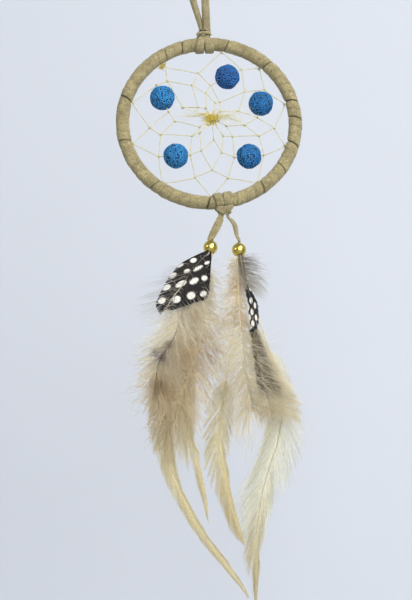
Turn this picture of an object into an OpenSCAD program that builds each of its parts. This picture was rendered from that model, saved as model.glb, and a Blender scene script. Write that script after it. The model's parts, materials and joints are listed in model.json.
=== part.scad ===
// Dream catcher: a wrapped wire hoop with a knotted web, lava beads, and two feather bunches on suede laces.
// The origin is the point inside the hanging loop where a hook carries it. +Z is up, and the front faces -Y.

/* [Hoop] */
// Radius of the hoop, from its centre to the middle of its tube
hoop_r = 27.7; // [27.6:0.1:28]
// Thickness of the steel wire inside the wrap
wire_d = 2.4; // [1.6:0.2:2.6]
// Thickness of the wrapped tube
tube_d = 4.6; // [4.2:0.1:4.6]

/* [Web] */
// Thickness of the web thread
thread_d = 0.4; // [0.2:0.05:0.4]
// Diameter of the lava beads
lava_d = 8; // [6:0.5:8]
// Bore of the lava beads
lava_bore_d = 1.5; // [1:0.1:2]

/* [Laces] */
// Width of the suede lace
lace_w = 3; // [2.8:0.1:3]
// Thickness of the suede lace
lace_t = 1.2; // [1:0.1:1.2]

/* [Gold beads] */
// Diameter of the gold beads
gold_d = 4.5; // [4:0.1:4.5]
// Bore of the gold beads
gold_bore_d = 2.4; // [2.4:0.05:2.6]

/* [Hidden] */
$fn = 48;

suede = "#b9a57c";
gold = "#d8a83a";
lava_blue = "#2c74b8";
thread_colour = "#d9cf9a";
cream = "#d9cbb2";
tan_feather = "#b08d5c";
spotted = "#2b2724";

tube_r = tube_d / 2;
hoop_at = [1.6, 0, -70];

// Hitches: bands around the hoop tube, a bar over them, and the throat that the lace ends leave through
hitch_len = 6;
hitch_r = 3.3;
hitch_play = 0.25;
groove_w = 0.3;
groove_depth = 0.35;
bar_len = 4.2;
bar_r = 0.9;
bar_y = -2;
bar_z = 3.1;
throat_z = 2.6;
hanger_throat_top = 4.6;
throat_d = 3.2;

// Where the hitches sit on the hoop: offset from the hoop's centre along X
hanger_dx = -1.6;
pendant_dx = 4.4;
hanger_tilt = asin(-hanger_dx / hoop_r);
pendant_tilt = asin(pendant_dx / hoop_r);
hanger_at = hoop_at + [hanger_dx, 0, hoop_r * cos(hanger_tilt)];
pendant_at = hoop_at + [pendant_dx, 0, -hoop_r * cos(pendant_tilt)];

// Pendant laces: the pivot at the throat, the pivot at the bead, and the bead's centre
pivot_gap = 0.1;
end_gap = 0.05;
end_step = 0.05;
left_hinge = [5.2, 0, -102.3];
right_hinge = [7.4, 0, -102.3];
left_end = [2.0, 0, -109.7];
right_end = [10.9, 0, -110.0];
tip_w = 2;
left_bead_at = left_end - [0, 0, gold_d / 2 + lace_t / 2 + end_gap];
right_bead_at = right_end - [0, 0, gold_d / 2 + tip_w / 2 + end_gap];
pendant_throat_z = -101.85;
pendant_throat_x = [4.4, 7.75];

// Hanging strands: from the hitch's throat up to the knot
strand_foot = hanger_at[2] + hanger_throat_top + 0.02;
knot_z = 4;
left_strand = [
  [-0.8, 0, strand_foot], [-0.8, 0, strand_foot + 0.5], [-1.1, 0, -36], [-2.2, 0, -32], [-3.8, 0, -26], [-4.8, 0, -20], [-5, 0, -14],
  [-4.6, 0, -8], [-3.4, 0, -3], [-1.8, 0, 1], [-1, 0, 3], [-1, 0, knot_z]
];
right_strand = [
  [0.8, 0, strand_foot], [0.8, 0, strand_foot + 0.5], [0.7, 0, -36], [0.5, 0, -32], [0.3, 0, -26], [0.6, 0, -20], [1.2, 0, -14],
  [1.8, 0, -8], [2.2, 0, -3], [1.6, 0, 1], [1, 0, 3], [1, 0, knot_z]
];
strand_w = 0.75;
strand_t = 1.3;

// Web: each row is hooked to the middles of the row outside it, and lies a thread in front of it
row_step = 0.42;
row_y = [for (i = [0:4]) 0.84 - row_step * i];
anchor_r = 26.2;
anchor_angles = [81, 50, 16, -17, -53, -92.8, -125, -163, 165];
start_angle = 127.5;
start_r = 24.9;
turn_angles = [124, 121];
row1 = [
  [-3.5, 17.5], [10.5, 19], [18, 12], [21, -1.5], [17.5, -11], [6, -19], [-4.5, -19], [-16, -12],
  [-19, -2], [-13.5, 14.5]
];
row2 = [
  [0.5, 13], [11.5, 11], [15.5, 2], [16, -4.5], [8, -12], [1, -16.5], [-6, -11.5], [-15.5, -4.5],
  [-13, 3.5], [-5.5, 13]
];
row3 = [
  [3.5, 7], [9.5, 4], [11.5, -1], [7.5, -5], [4, -10.5], [-2.5, -10], [-5.5, -5], [-11, 0],
  [-3.5, 5], [-1, 10]
];
row4 = [
  [3.5, 3.5], [5.5, 2], [5.5, -1.5], [4.5, -5], [1.5, -6.5], [-3, -4], [-3, -2], [-3, 2.5],
  [-1, 4.5], [2, 6.5]
];
side_loop = [-17, 13];
side_knot = [-8.5, 5];
centre = [0.8, 0.8];
centre_r = 0.9;
hook_half = 0.3;

// Each lava bead lies on one stretch of the second row: its two ends, and how far along it the bead sits
lava_at = [
  [row2[0], row1[1], 0.54], [side_loop, row2[8], 0.48], [row1[2], row2[2], 0.5],
  [row2[6], row1[7], 0.46], [row1[4], row2[4], 0.5]
];

function on_hoop(a, r) = [r * cos(a), r * sin(a)];
function web_point(p, y) = hoop_at + [p[0], y, p[1]];
function anchor(i) = on_hoop(anchor_angles[i], anchor_r);
function towards(p) = let (d = p - centre) atan2(d[1], d[0]);
function hook(p, side) = let (a = towards(p)) p + side * hook_half * [-sin(a), cos(a)];

// The whole thread, from the start knot to the centre, in the order it is woven
outer_row = [
  web_point(on_hoop(start_angle, start_r), row_y[0]),
  for (i = [0:8]) each [web_point(row1[i], row_y[0]), web_point(anchor(i), row_y[0])],
  web_point(side_loop, row_y[0]), web_point(row1[9], row_y[0]),
  web_point(on_hoop(turn_angles[0], anchor_r), row_y[0]), web_point(on_hoop(turn_angles[1], anchor_r), row_y[1])
];
second_row = [
  web_point(row1[9], row_y[1]), web_point(row2[9], row_y[1]),
  for (i = [0:8]) each [web_point(row1[i], row_y[1]), web_point(row2[i], row_y[1])],
  web_point(side_loop, row_y[1])
];
third_row = [
  web_point(row1[9], row_y[2]), web_point(side_knot, row_y[2]), web_point(row3[8], row_y[2]),
  web_point(row2[9], row_y[2]), web_point(row3[9], row_y[2]),
  for (i = [0:7]) each [web_point(row2[i], row_y[2]), web_point(row3[i], row_y[2])],
  web_point(row2[8], row_y[2])
];
fourth_row = [
  web_point(side_knot, row_y[3]), web_point(row3[8], row_y[3]), web_point(row4[8], row_y[3]),
  web_point(row3[9], row_y[3]), web_point(row4[9], row_y[3]),
  for (i = [0:6]) each [web_point(row3[i], row_y[3]), web_point(row4[i], row_y[3])],
  web_point(row3[7], row_y[3])
];
star = [
  for (k = [0:9]) let (i = (17 - k) % 10, p = row4[i], a = towards(p) - 18)
    each [web_point(hook(p, 1), row_y[4]), web_point(hook(p, -1), row_y[4]),
          web_point(centre + on_hoop(a, centre_r), row_y[4])]
];
thread_route = concat(outer_row, second_row, third_row, fourth_row, star);

// Feathers: stations of [x, y, z, half width, half thickness] from the quill's end in the bead to the tip
quill_r = 0.28;
function quill(bead, dx, dy) = [bead[0] + dx, dy, bead[2] - 0.2, quill_r, quill_r];

function spline(p, i, t) =
  let (a = p[max(i - 1, 0)], b = p[i], c = p[i + 1], d = p[min(i + 2, len(p) - 1)])
  0.5 * (2 * b + (c - a) * t + (2 * a - 5 * b + 4 * c - d) * t * t + (3 * b - a - 3 * c + d) * t * t * t);
function smooth_list(p, n) = concat([for (i = [0:len(p) - 2]) for (j = [0:n - 1]) spline(p, i, j / n)], [p[len(p) - 1]]);
function unit(v) = v / norm(v);
function dir_at(p, i) =
  i == 0 ? unit(p[1] - p[0])
  : i == len(p) - 1 ? unit(p[i] - p[i - 1])
  : unit(unit(p[i] - p[i - 1]) + unit(p[i + 1] - p[i]));
function mitre_at(p, i) =
  i == 0 || i == len(p) - 1 ? 1 : 1 / max(0.6, unit(p[i] - p[i - 1]) * dir_at(p, i));

// One closed solid from rings of equal size
module rings_solid(rings) {
  n = len(rings[0]);
  m = len(rings);
  points = [for (r = rings) each r];
  walls = [
    for (k = [0:m - 2]) for (j = [0:n - 1]) let (a = k * n + j, b = k * n + (j + 1) % n)
      each [[a, b, b + n], [a, b + n, a + n]]
  ];
  first_cap = [for (j = [1:n - 2]) [0, j + 1, j]];
  last = (m - 1) * n;
  last_cap = [for (j = [1:n - 2]) [last, last + j, last + j + 1]];
  polyhedron(points, concat(walls, first_cap, last_cap));
}

// A tube along a route near the XZ plane: half size rx in that plane, ry across it
module tube(route, rx, ry, sides = 8) {
  rings_solid([
    for (i = [0:len(route) - 1])
      let (d = dir_at(route, i), s = unit(cross(d, [0, 1, 0])), u = cross(s, d), k = mitre_at(route, i))
      [for (j = [0:sides - 1]) route[i] + s * rx * k * cos(360 * j / sides) + u * ry * sin(360 * j / sides)]
  ]);
}

// A flat feather solid through its stations
module feather(stations, sides = 10) {
  st = smooth_list(stations, 2);
  spine = [for (p = st) [p[0], 0, p[2]]];
  rings_solid([
    for (i = [0:len(st) - 1])
      let (d = dir_at(spine, i), s = cross(d, [0, 1, 0]), p = st[i])
      [for (j = [0:sides - 1])
        [p[0], p[1], p[2]] + s * p[3] * cos(360 * j / sides) + [0, 1, 0] * p[4] * sin(360 * j / sides)]
  ]);
}

module wire_ring() {
  color("#8c8f92")
  translate(hoop_at) rotate([90, 0, 0]) rotate_extrude($fn = 96) translate([hoop_r, 0]) circle(r = wire_d / 2 - 0.02);
}

module ring_wrap() {
  color(suede)
  translate(hoop_at) rotate([90, 0, 0]) rotate_extrude($fn = 96) translate([hoop_r, 0]) difference() {
    circle(r = tube_r);
    circle(r = wire_d / 2);
  }
}

// The two bands of a lark's head with its bar; +Z points away from the hoop's centre
module hitch_bands() {
  rotate([0, 90, 0]) difference() {
    cylinder(r = hitch_r, h = hitch_len, center = true);
    difference() {
      cylinder(r = hitch_r + 1, h = groove_w, center = true);
      cylinder(r = hitch_r - groove_depth, h = groove_w + 1, center = true);
    }
  }
  translate([0, bar_y, bar_z]) {
    rotate([0, 90, 0]) cylinder(r = bar_r, h = bar_len, center = true);
    for (side = [-1, 1]) translate([side * bar_len / 2, 0, 0]) sphere(r = bar_r);
  }
}

module hitch_bore() {
  rotate([0, 90, 0]) cylinder(r = tube_r + hitch_play, h = hitch_len + 10, center = true);
}

module hanger_hitch() {
  color(suede) difference() {
    union() {
      translate(hanger_at) rotate([0, -hanger_tilt, 0]) hitch_bands();
      translate(hanger_at + [-1.9, -throat_d / 2, throat_z]) cube([3.8, throat_d, hanger_throat_top - throat_z]);
    }
    translate(hanger_at) rotate([0, -hanger_tilt, 0]) hitch_bore();
  }
}

module pendant_hitch() {
  throat_h = pendant_at[2] - throat_z - pendant_throat_z;
  color(suede) difference() {
    union() {
      translate(pendant_at) rotate([0, -pendant_tilt, 0]) mirror([0, 0, 1]) hitch_bands();
      translate([pendant_throat_x[0], -throat_d / 2, pendant_throat_z])
        cube([pendant_throat_x[1] - pendant_throat_x[0], throat_d, throat_h]);
    }
    translate(pendant_at) rotate([0, -pendant_tilt, 0]) hitch_bore();
    translate(left_hinge) rotate([90, 0, 0]) cylinder(r = lace_w / 2 + pivot_gap, h = 10, center = true);
    translate(right_hinge) rotate([90, 0, 0]) cylinder(r = lace_t / 2 + pivot_gap, h = 10, center = true);
  }
}

// The lower end of a pendant lace, rounded about the line where it bends above its bead
module lace_end(at, r, h) {
  translate(at) rotate([0, 90, 0]) cylinder(r = r, h = h, center = true);
}

module left_pendant_lace() {
  color(suede) {
    hull() {
      translate(left_hinge) rotate([90, 0, 0]) cylinder(r = lace_w / 2, h = lace_t, center = true, $fn = 32);
      lace_end(left_end, lace_t / 2 - end_step, tip_w - 2 * end_step);
    }
    lace_end(left_end, lace_t / 2, tip_w);
  }
}

module right_pendant_lace() {
  color(suede) {
    hull() {
      translate(right_hinge) rotate([90, 0, 0]) cylinder(r = lace_t / 2, h = lace_w, center = true, $fn = 32);
      lace_end(right_end, tip_w / 2 - end_step, lace_t - 2 * end_step);
    }
    lace_end(right_end, tip_w / 2, lace_t);
  }
}

module hanger_strand_left() {
  color(suede) tube(left_strand, strand_w, strand_t);
}

module hanger_strand_right() {
  color(suede) tube(right_strand, strand_w, strand_t);
}

// The overhand knot that closes the loop, with the two short ends of the lace above it
module hanger_knot() {
  knot_h = 6.5;
  tail_len = 8;
  color(suede) {
    translate([0, 0, knot_z]) rotate_extrude() polygon([
      [0, 0], [2.4, 0], [3.1, 1.2], [3.4, 2.6], [3.4, knot_h - 2.4], [3, knot_h - 1], [2, knot_h], [0, knot_h]
    ]);
    for (side = [-1, 1])
      translate([side * 0.9, 0, knot_z + knot_h - 1]) rotate([0, side * 14, 0])
        translate([-lace_t / 2, -lace_w / 2, 0]) cube([lace_t, lace_w, tail_len]);
  }
}

module web_thread() {
  color(thread_colour) tube(thread_route, thread_d / 2, thread_d / 2);
}

module web_start_knot() {
  color(thread_colour)
  translate(web_point(on_hoop(start_angle, start_r), row_y[0] - 0.5)) sphere(r = 1.1);
}

// The gathered middle of the web: a body of revolution along X
module web_centre_knot() {
  half = 2.8;
  radius = 1.3;
  color(thread_colour)
  translate(web_point(centre, row_y[4])) rotate([0, 90, 0]) rotate_extrude($fn = 32)
    polygon([for (a = [-90:15:90]) [radius * cos(a), half * sin(a)]]);
}

// The frayed thread ends that spread sideways from the centre knot, in front of the web
fringe_y = -1.75;
function fringe_station(x, z, w, t) = hoop_at[0] * [1, 0, 0, 0, 0] + hoop_at[2] * [0, 0, 1, 0, 0] + [x, fringe_y, z, w, t];

module fringe_left() {
  color(thread_colour) feather([
    fringe_station(-0.8, 0.9, 0.5, 0.3), fringe_station(-4, 1.2, 1.2, 0.25), fringe_station(-8, 1.6, 1.5, 0.2),
    fringe_station(-11.5, 1.8, 0.9, 0.15)
  ]);
}

module fringe_right() {
  color(thread_colour) feather([
    fringe_station(2.4, 0.9, 0.5, 0.3), fringe_station(6, 1, 1.3, 0.25), fringe_station(10, 1, 1.4, 0.2),
    fringe_station(14.5, 1.1, 0.7, 0.15)
  ]);
}

module lava_bead(i) {
  from = web_point(lava_at[i][0], row_y[1]);
  to = web_point(lava_at[i][1], row_y[1]);
  along = to - from;
  color(lava_blue)
  translate(from + along * lava_at[i][2]) rotate([0, atan2(along[0], along[2]), 0]) difference() {
    sphere(d = lava_d);
    cylinder(d = lava_bore_d, h = lava_d + 2, center = true);
  }
}

module gold_bead(at) {
  color(gold) translate(at) difference() {
    sphere(d = gold_d);
    cylinder(d = gold_bore_d, h = gold_d + 2, center = true);
  }
}

// The glued end of a pendant lace inside its bead, above the quills
module lace_tip(bead, size) {
  color(suede) translate([bead[0] - size[0] / 2, -size[1] / 2, bead[2] + 0.1]) cube([size[0], size[1], gold_d / 2 - 0.1]);
}

module left_lace_tip() lace_tip(left_bead_at, [tip_w, lace_t]);

module right_lace_tip() lace_tip(right_bead_at, [lace_t, tip_w]);

module left_spotted_feather() {
  color(spotted) feather([
    quill(left_bead_at, 0, -0.75), [1.8, -0.85, -115.2, 0.3, 0.25], [0.4, -2, -117.8, 2, 0.25],
    [-1.8, -3.4, -121.5, 4.6, 0.3], [-4.4, -4, -126, 6.2, 0.35], [-6.8, -4, -129.6, 6.4, 0.35],
    [-9.2, -3.9, -132.9, 5, 0.3], [-11.6, -3.8, -135.6, 2.4, 0.25], [-12.8, -3.8, -137, 0.5, 0.2]
  ]);
}

module left_front_plume() {
  color(cream) feather([
    quill(left_bead_at, -0.72, -0.2), [1.2, -0.3, -115.2, 0.35, 0.25], [-0.8, -0.8, -119, 1.3, 0.3],
    [-3.2, -1.6, -125, 3.2, 0.6], [-6, -2.1, -133, 6, 0.8], [-8, -2.1, -141, 8.4, 0.9],
    [-8.8, -2.1, -149, 8.8, 0.9], [-9.3, -2, -156, 7, 0.8], [-9.8, -1.9, -161.5, 4, 0.5], [-10, -1.8, -165, 1, 0.3]
  ]);
}

module left_back_plume() {
  color(tan_feather) feather([
    quill(left_bead_at, 0.72, -0.2), [2.4, 0, -115.2, 0.3, 0.25], [0.6, 0.1, -119, 0.8, 0.25],
    [-1.5, 0, -127, 1.8, 0.3], [-4, 0, -136, 4.5, 0.4], [-9, 0.1, -145, 8.5, 0.5],
    [-13, 0.1, -153, 7.5, 0.55], [-15.5, 0.1, -161, 5.5, 0.5], [-16.3, 0.1, -168, 3.2, 0.4], [-16.3, 0.1, -174, 0.8, 0.3]
  ]);
}

module left_short_hackle() {
  color(tan_feather) feather([
    quill(left_bead_at, -0.45, 0.6), [1.4, 0.75, -115.2, 0.3, 0.2], [-0.6, 1.1, -122, 0.8, 0.2],
    [-2.8, 1.4, -135, 1.5, 0.25], [-4.6, 1.4, -150, 2.2, 0.25], [-4.8, 1.4, -165, 2.6, 0.25],
    [-3.8, 1.4, -177, 2.4, 0.25], [-1.2, 1.4, -188, 1.7, 0.25], [0.9, 1.4, -195, 0.9, 0.2], [1.6, 1.4, -198, 0.3, 0.15]
  ]);
}

module left_long_hackle() {
  color(tan_feather) feather([
    quill(left_bead_at, 0.45, 0.6), [2.3, 1, -115.2, 0.35, 0.2], [0, 2.2, -121, 0.7, 0.2],
    [-6, 2.5, -135, 1.6, 0.3], [-12.5, 2.5, -148, 2.4, 0.3], [-15.8, 2.5, -160, 2.8, 0.3],
    [-14.7, 2.5, -171, 2.6, 0.3], [-11.2, 2.5, -180.5, 2.2, 0.3], [-6.8, 2.5, -189.2, 1.9, 0.25],
    [-1.2, 2.5, -197.7, 1.5, 0.25], [6, 2.5, -209.3, 1.1, 0.2], [12.3, 2.5, -219.8, 0.45, 0.15]
  ]);
}

module right_spotted_feather() {
  color(spotted) feather([
    quill(right_bead_at, 0, -0.75), [11.2, -0.85, -116, 0.3, 0.25], [13.6, -1.9, -118.6, 2.8, 0.35],
    [15.2, -2.7, -122, 3.4, 0.45], [14.9, -2.9, -126, 2.4, 0.35], [15.1, -2.9, -130, 2, 0.3],
    [15.7, -2.9, -134, 2, 0.3], [15.8, -2.9, -138, 1.4, 0.25], [15.2, -2.9, -140.6, 0.4, 0.2]
  ]);
}

module right_cream_plume() {
  color(cream) feather([
    quill(right_bead_at, -0.72, -0.2), [10.1, -0.35, -116, 0.7, 0.25], [9.8, -0.8, -121, 2.6, 0.4],
    [10.3, -1.2, -128, 3.8, 0.6], [11, -1.3, -136, 4.6, 0.7], [13, -1.3, -144, 7, 0.7],
    [14.5, -1.3, -151, 8, 0.7], [15.5, -1.3, -158, 6.5, 0.6], [16.5, -1.3, -164, 3.5, 0.4], [17, -1.3, -167.5, 0.8, 0.3]
  ]);
}

module right_brown_plume() {
  color(tan_feather) feather([
    quill(right_bead_at, 0.72, -0.2), [12, -0.2, -116, 0.3, 0.2], [12.9, -0.1, -122, 0.6, 0.2],
    [14.8, 0, -133, 1.6, 0.2], [17, 0, -143, 2.8, 0.25], [18.8, 0, -151, 3.2, 0.25],
    [20, 0, -159, 2.6, 0.25], [20.8, 0, -166, 0.8, 0.2]
  ]);
}

module right_middle_hackle() {
  color(tan_feather) feather([
    quill(right_bead_at, -0.45, 0.6), [10.5, 0.7, -116, 0.3, 0.2], [10.3, 0.9, -122, 0.8, 0.2],
    [9.8, 1, -135, 1.6, 0.25], [8.8, 1, -148, 2.2, 0.25], [7.2, 1, -160, 2.6, 0.25],
    [6.4, 1, -170, 2.7, 0.25], [6.7, 1, -178, 2.5, 0.25], [8, 1, -187, 1.9, 0.25], [10, 1, -195.5, 1.2, 0.2],
    [11.6, 1, -202, 0.4, 0.15]
  ]);
}

module right_long_hackle() {
  color(cream) feather([
    quill(right_bead_at, 0.45, 0.6), [11.6, 1, -116, 0.35, 0.2], [13.5, 1.9, -122, 1, 0.2],
    [17, 2.3, -133, 2.2, 0.3], [20.3, 2.3, -144, 3.4, 0.3], [22.3, 2.3, -156, 4.6, 0.35],
    [22.2, 2.3, -168, 5, 0.35], [20.6, 2.3, -179, 4.6, 0.35], [18.6, 2.3, -189, 3.2, 0.3],
    [16.9, 2.3, -198, 1.9, 0.25], [15.9, 2.3, -206, 1.2, 0.2], [15.6, 2.3, -214, 0.9, 0.2], [15.3, 2.3, -221, 0.4, 0.15]
  ]);
}

wire_ring();
ring_wrap();
hanger_hitch();
hanger_strand_left();
hanger_strand_right();
hanger_knot();
pendant_hitch();
left_pendant_lace();
right_pendant_lace();
web_thread();
web_start_knot();
web_centre_knot();
fringe_left();
fringe_right();
lava_bead(0);  // lava_bead_1
lava_bead(1);  // lava_bead_2
lava_bead(2);  // lava_bead_3
lava_bead(3);  // lava_bead_4
lava_bead(4);  // lava_bead_5
gold_bead(left_bead_at);  // left_gold_bead
left_lace_tip();
left_spotted_feather();
left_front_plume();
left_back_plume();
left_short_hackle();
left_long_hackle();
gold_bead(right_bead_at);  // right_gold_bead
right_lace_tip();
right_spotted_feather();
right_cream_plume();
right_brown_plume();
right_middle_hackle();
right_long_hackle();
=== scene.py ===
"""Dream catcher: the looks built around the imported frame. Metres, +Z up, front facing -Y."""
import json
import math
import bpy
import numpy as np
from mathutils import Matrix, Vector


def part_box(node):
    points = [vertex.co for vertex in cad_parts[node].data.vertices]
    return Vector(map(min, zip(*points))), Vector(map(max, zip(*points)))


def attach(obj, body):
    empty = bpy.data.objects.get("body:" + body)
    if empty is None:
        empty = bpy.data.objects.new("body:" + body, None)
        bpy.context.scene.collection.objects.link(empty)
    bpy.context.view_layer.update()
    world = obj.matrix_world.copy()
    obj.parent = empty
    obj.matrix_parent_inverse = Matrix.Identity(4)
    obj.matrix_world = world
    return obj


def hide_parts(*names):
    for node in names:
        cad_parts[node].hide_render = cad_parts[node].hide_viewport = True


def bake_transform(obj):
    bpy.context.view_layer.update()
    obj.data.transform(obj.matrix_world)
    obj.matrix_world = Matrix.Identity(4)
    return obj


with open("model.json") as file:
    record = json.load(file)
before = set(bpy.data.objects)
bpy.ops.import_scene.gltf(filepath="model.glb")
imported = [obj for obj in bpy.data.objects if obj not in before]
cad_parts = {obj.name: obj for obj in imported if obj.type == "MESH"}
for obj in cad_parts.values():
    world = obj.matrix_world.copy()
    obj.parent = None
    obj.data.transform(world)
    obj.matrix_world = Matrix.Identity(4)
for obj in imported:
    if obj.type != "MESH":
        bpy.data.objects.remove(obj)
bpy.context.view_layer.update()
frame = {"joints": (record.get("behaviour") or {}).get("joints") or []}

MM = 0.001
X_AXIS, Y_AXIS, Z_AXIS = np.eye(3)


# ---------------------------------------------------------------- places taken from the frame

def box_of(node):
    low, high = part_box(node)
    return np.array(low), np.array(high)


def centre_of(node):
    low, high = box_of(node)
    return (low + high) / 2


def joint(name):
    return next(j for j in frame["joints"] if j["name"] == name)


def joint_point(name):
    return np.array(joint(name)["pos_m"], float)


def joint_axis(name):
    return np.array(joint(name)["axis"], float)


RING_LOW, RING_HIGH = box_of("ring_wrap")
RING = (RING_LOW + RING_HIGH) / 2
TUBE_R = (RING_HIGH[1] - RING_LOW[1]) / 2
HOOP_R = (RING_HIGH[0] - RING_LOW[0]) / 2 - TUBE_R
LEFT_BEAD = centre_of("left_gold_bead")
RIGHT_BEAD = centre_of("right_gold_bead")
GOLD_R = (box_of("left_gold_bead")[1][0] - box_of("left_gold_bead")[0][0]) / 2
LAVA_R = (box_of("lava_bead_1")[1][1] - box_of("lava_bead_1")[0][1]) / 2
LACE_W = 3 * MM
LACE_T = 1.2 * MM
LACE_SIDES = 28
GOLD_BORE = 1.15 * MM
LAVA_BORE = 0.72 * MM
LAVA_PORES = 1250


# ---------------------------------------------------------------- small numeric helpers

def unit(v):
    v = np.asarray(v, float)
    return v / np.maximum(np.linalg.norm(v, axis=-1, keepdims=True), 1e-12)


def smooth_path(points, count):
    """A smooth curve through the points, with count samples evenly spaced along it."""
    p = np.asarray(points, float)
    p = np.vstack([2 * p[0] - p[1], p, 2 * p[-1] - p[-2]])
    t = np.linspace(0, 1, 16, endpoint=False)[:, None]
    parts = [
        0.5 * (2 * b + (c - a) * t + (2 * a - 5 * b + 4 * c - d) * t**2 + (3 * b - a - 3 * c + d) * t**3)
        for a, b, c, d in zip(p[:-3], p[1:-2], p[2:-1], p[3:])
    ]
    return resample(np.vstack(parts + [p[-2:-1]]), count)


def resample(path, count):
    step = np.linalg.norm(np.diff(path, axis=0), axis=1)
    along = np.concatenate([[0], np.cumsum(step)])
    wanted = np.linspace(0, along[-1], count)
    return np.stack([np.interp(wanted, along, path[:, k]) for k in range(3)], 1)


def tangents(path):
    return unit(np.gradient(path, axis=0))


def path_length(path):
    return float(np.linalg.norm(np.diff(path, axis=0), axis=1).sum())


def wave(x, seed):
    """Smooth repeatable noise of one number, about -1 to 1: a sum of four sines."""
    rng = np.random.default_rng(seed)
    total = np.zeros_like(np.asarray(x, float))
    for k in range(4):
        f = 1.7**k
        total += np.sin(np.asarray(x) * f + rng.uniform(0, 2 * math.pi)) / (k + 1)
    return total / 1.8


def ramp(x, low, high):
    t = np.clip((np.asarray(x, float) - low) / (high - low), 0, 1)
    return t * t * (3 - 2 * t)


# ---------------------------------------------------------------- meshes

def mesh_object(name, verts, faces, colour=None):
    """One mesh from arrays: verts (n, 3), faces a list of (m, 3) or (m, 4) index arrays, colour (n, 3) linear."""
    mesh = bpy.data.meshes.new(name)
    faces = [np.asarray(f, np.int32) for f in faces if len(f)]
    loops = np.concatenate([f.ravel() for f in faces])
    sizes = np.concatenate([np.full(len(f), f.shape[1], np.int32) for f in faces])
    mesh.vertices.add(len(verts))
    mesh.vertices.foreach_set("co", np.asarray(verts, np.float32).ravel())
    mesh.loops.add(len(loops))
    mesh.loops.foreach_set("vertex_index", loops)
    mesh.polygons.add(len(sizes))
    mesh.polygons.foreach_set("loop_start", np.concatenate([[0], np.cumsum(sizes)[:-1]]).astype(np.int32))
    mesh.update(calc_edges=True)
    mesh.polygons.foreach_set("use_smooth", np.ones(len(sizes), bool))
    if colour is not None:
        layer = mesh.color_attributes.new("Col", "FLOAT_COLOR", "POINT")
        rgba = np.ones((len(verts), 4), np.float32)
        rgba[:, :3] = colour
        layer.data.foreach_set("color", rgba.ravel())
    mesh.validate()
    obj = bpy.data.objects.new(name, mesh)
    bpy.context.scene.collection.objects.link(obj)
    return obj


def grid_faces(rows, cols, wrap_rows=False):
    """Quads of a grid of vertices stored row by row, where each row is a closed ring."""
    r = np.arange(rows if wrap_rows else rows - 1)
    r, c = np.meshgrid(r, np.arange(cols), indexing="ij")
    r2, c2 = (r + 1) % rows, (c + 1) % cols
    return np.stack([r * cols + c, r * cols + c2, r2 * cols + c2, r2 * cols + c], -1).reshape(-1, 4)


class Parts:
    """Collects vertex blocks into one mesh."""

    def __init__(self):
        self.verts, self.quads, self.tris, self.colours, self.count = [], [], [], [], 0

    def add(self, verts, quads=(), tris=(), colour=None):
        self.verts.append(verts)
        if len(quads):
            self.quads.append(np.asarray(quads) + self.count)
        if len(tris):
            self.tris.append(np.asarray(tris) + self.count)
        if colour is None:
            colour = (1, 1, 1)
        self.colours.append(np.broadcast_to(np.asarray(colour, float), (len(verts), 3)))
        self.count += len(verts)

    def build(self, name):
        faces = [np.concatenate(f) for f in (self.quads, self.tris) if f]
        return mesh_object(name, np.vstack(self.verts), faces, np.vstack(self.colours))


def section_frames(path, up):
    """Side and up vectors across a path, close to the wanted up direction."""
    along = tangents(path)
    side = unit(np.cross(along, np.broadcast_to(np.asarray(up, float), path.shape)))
    return side, unit(np.cross(side, along))


def sweep(parts, path, outline, up, colour=None, closed=False, scale=None):
    """Sweeps an outline (m, 2) of side and up offsets along the path, or one outline per point (n, m, 2)."""
    side, upward = section_frames(path, up)
    outline = np.broadcast_to(outline, (len(path),) + np.shape(outline)[-2:])
    if scale is not None:
        outline = outline * np.asarray(scale)[:, None, None]
    rings = path[:, None] + side[:, None] * outline[..., :1] + upward[:, None] * outline[..., 1:]
    n, m = rings.shape[:2]
    quads = grid_faces(n, m, wrap_rows=closed)
    tris = []
    if not closed:
        fan = np.stack([np.zeros(m - 2, int), np.arange(1, m - 1), np.arange(2, m)], 1)
        tris = np.vstack([fan, fan[:, ::-1] + (n - 1) * m])
    if np.ndim(colour) == 2:
        colour = np.repeat(colour, m, axis=0)
    parts.add(rings.reshape(-1, 3), quads, tris, colour)


def circle(r, sides):
    a = np.arange(sides) * 2 * math.pi / sides
    return np.stack([np.cos(a), np.sin(a)], 1) * r


def lace_outline(width, thick, cup=0.0):
    """A flat lace's section: nearly square edges, slightly cupped across."""
    a = np.arange(LACE_SIDES) * 2 * math.pi / LACE_SIDES
    x = np.sign(np.cos(a)) * np.abs(np.cos(a)) ** 0.45 * width / 2
    y = np.sign(np.sin(a)) * np.abs(np.sin(a)) ** 0.6 * thick / 2
    return np.stack([x, y + cup * (x / (width / 2)) ** 2], 1)


# ---------------------------------------------------------------- materials

def colour(r, g, b):
    """A linear colour from an everyday 0 to 255 one."""
    c = np.array([r, g, b]) / 255
    return np.where(c <= 0.04045, c / 12.92, ((c + 0.055) / 1.055) ** 2.4)


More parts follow.
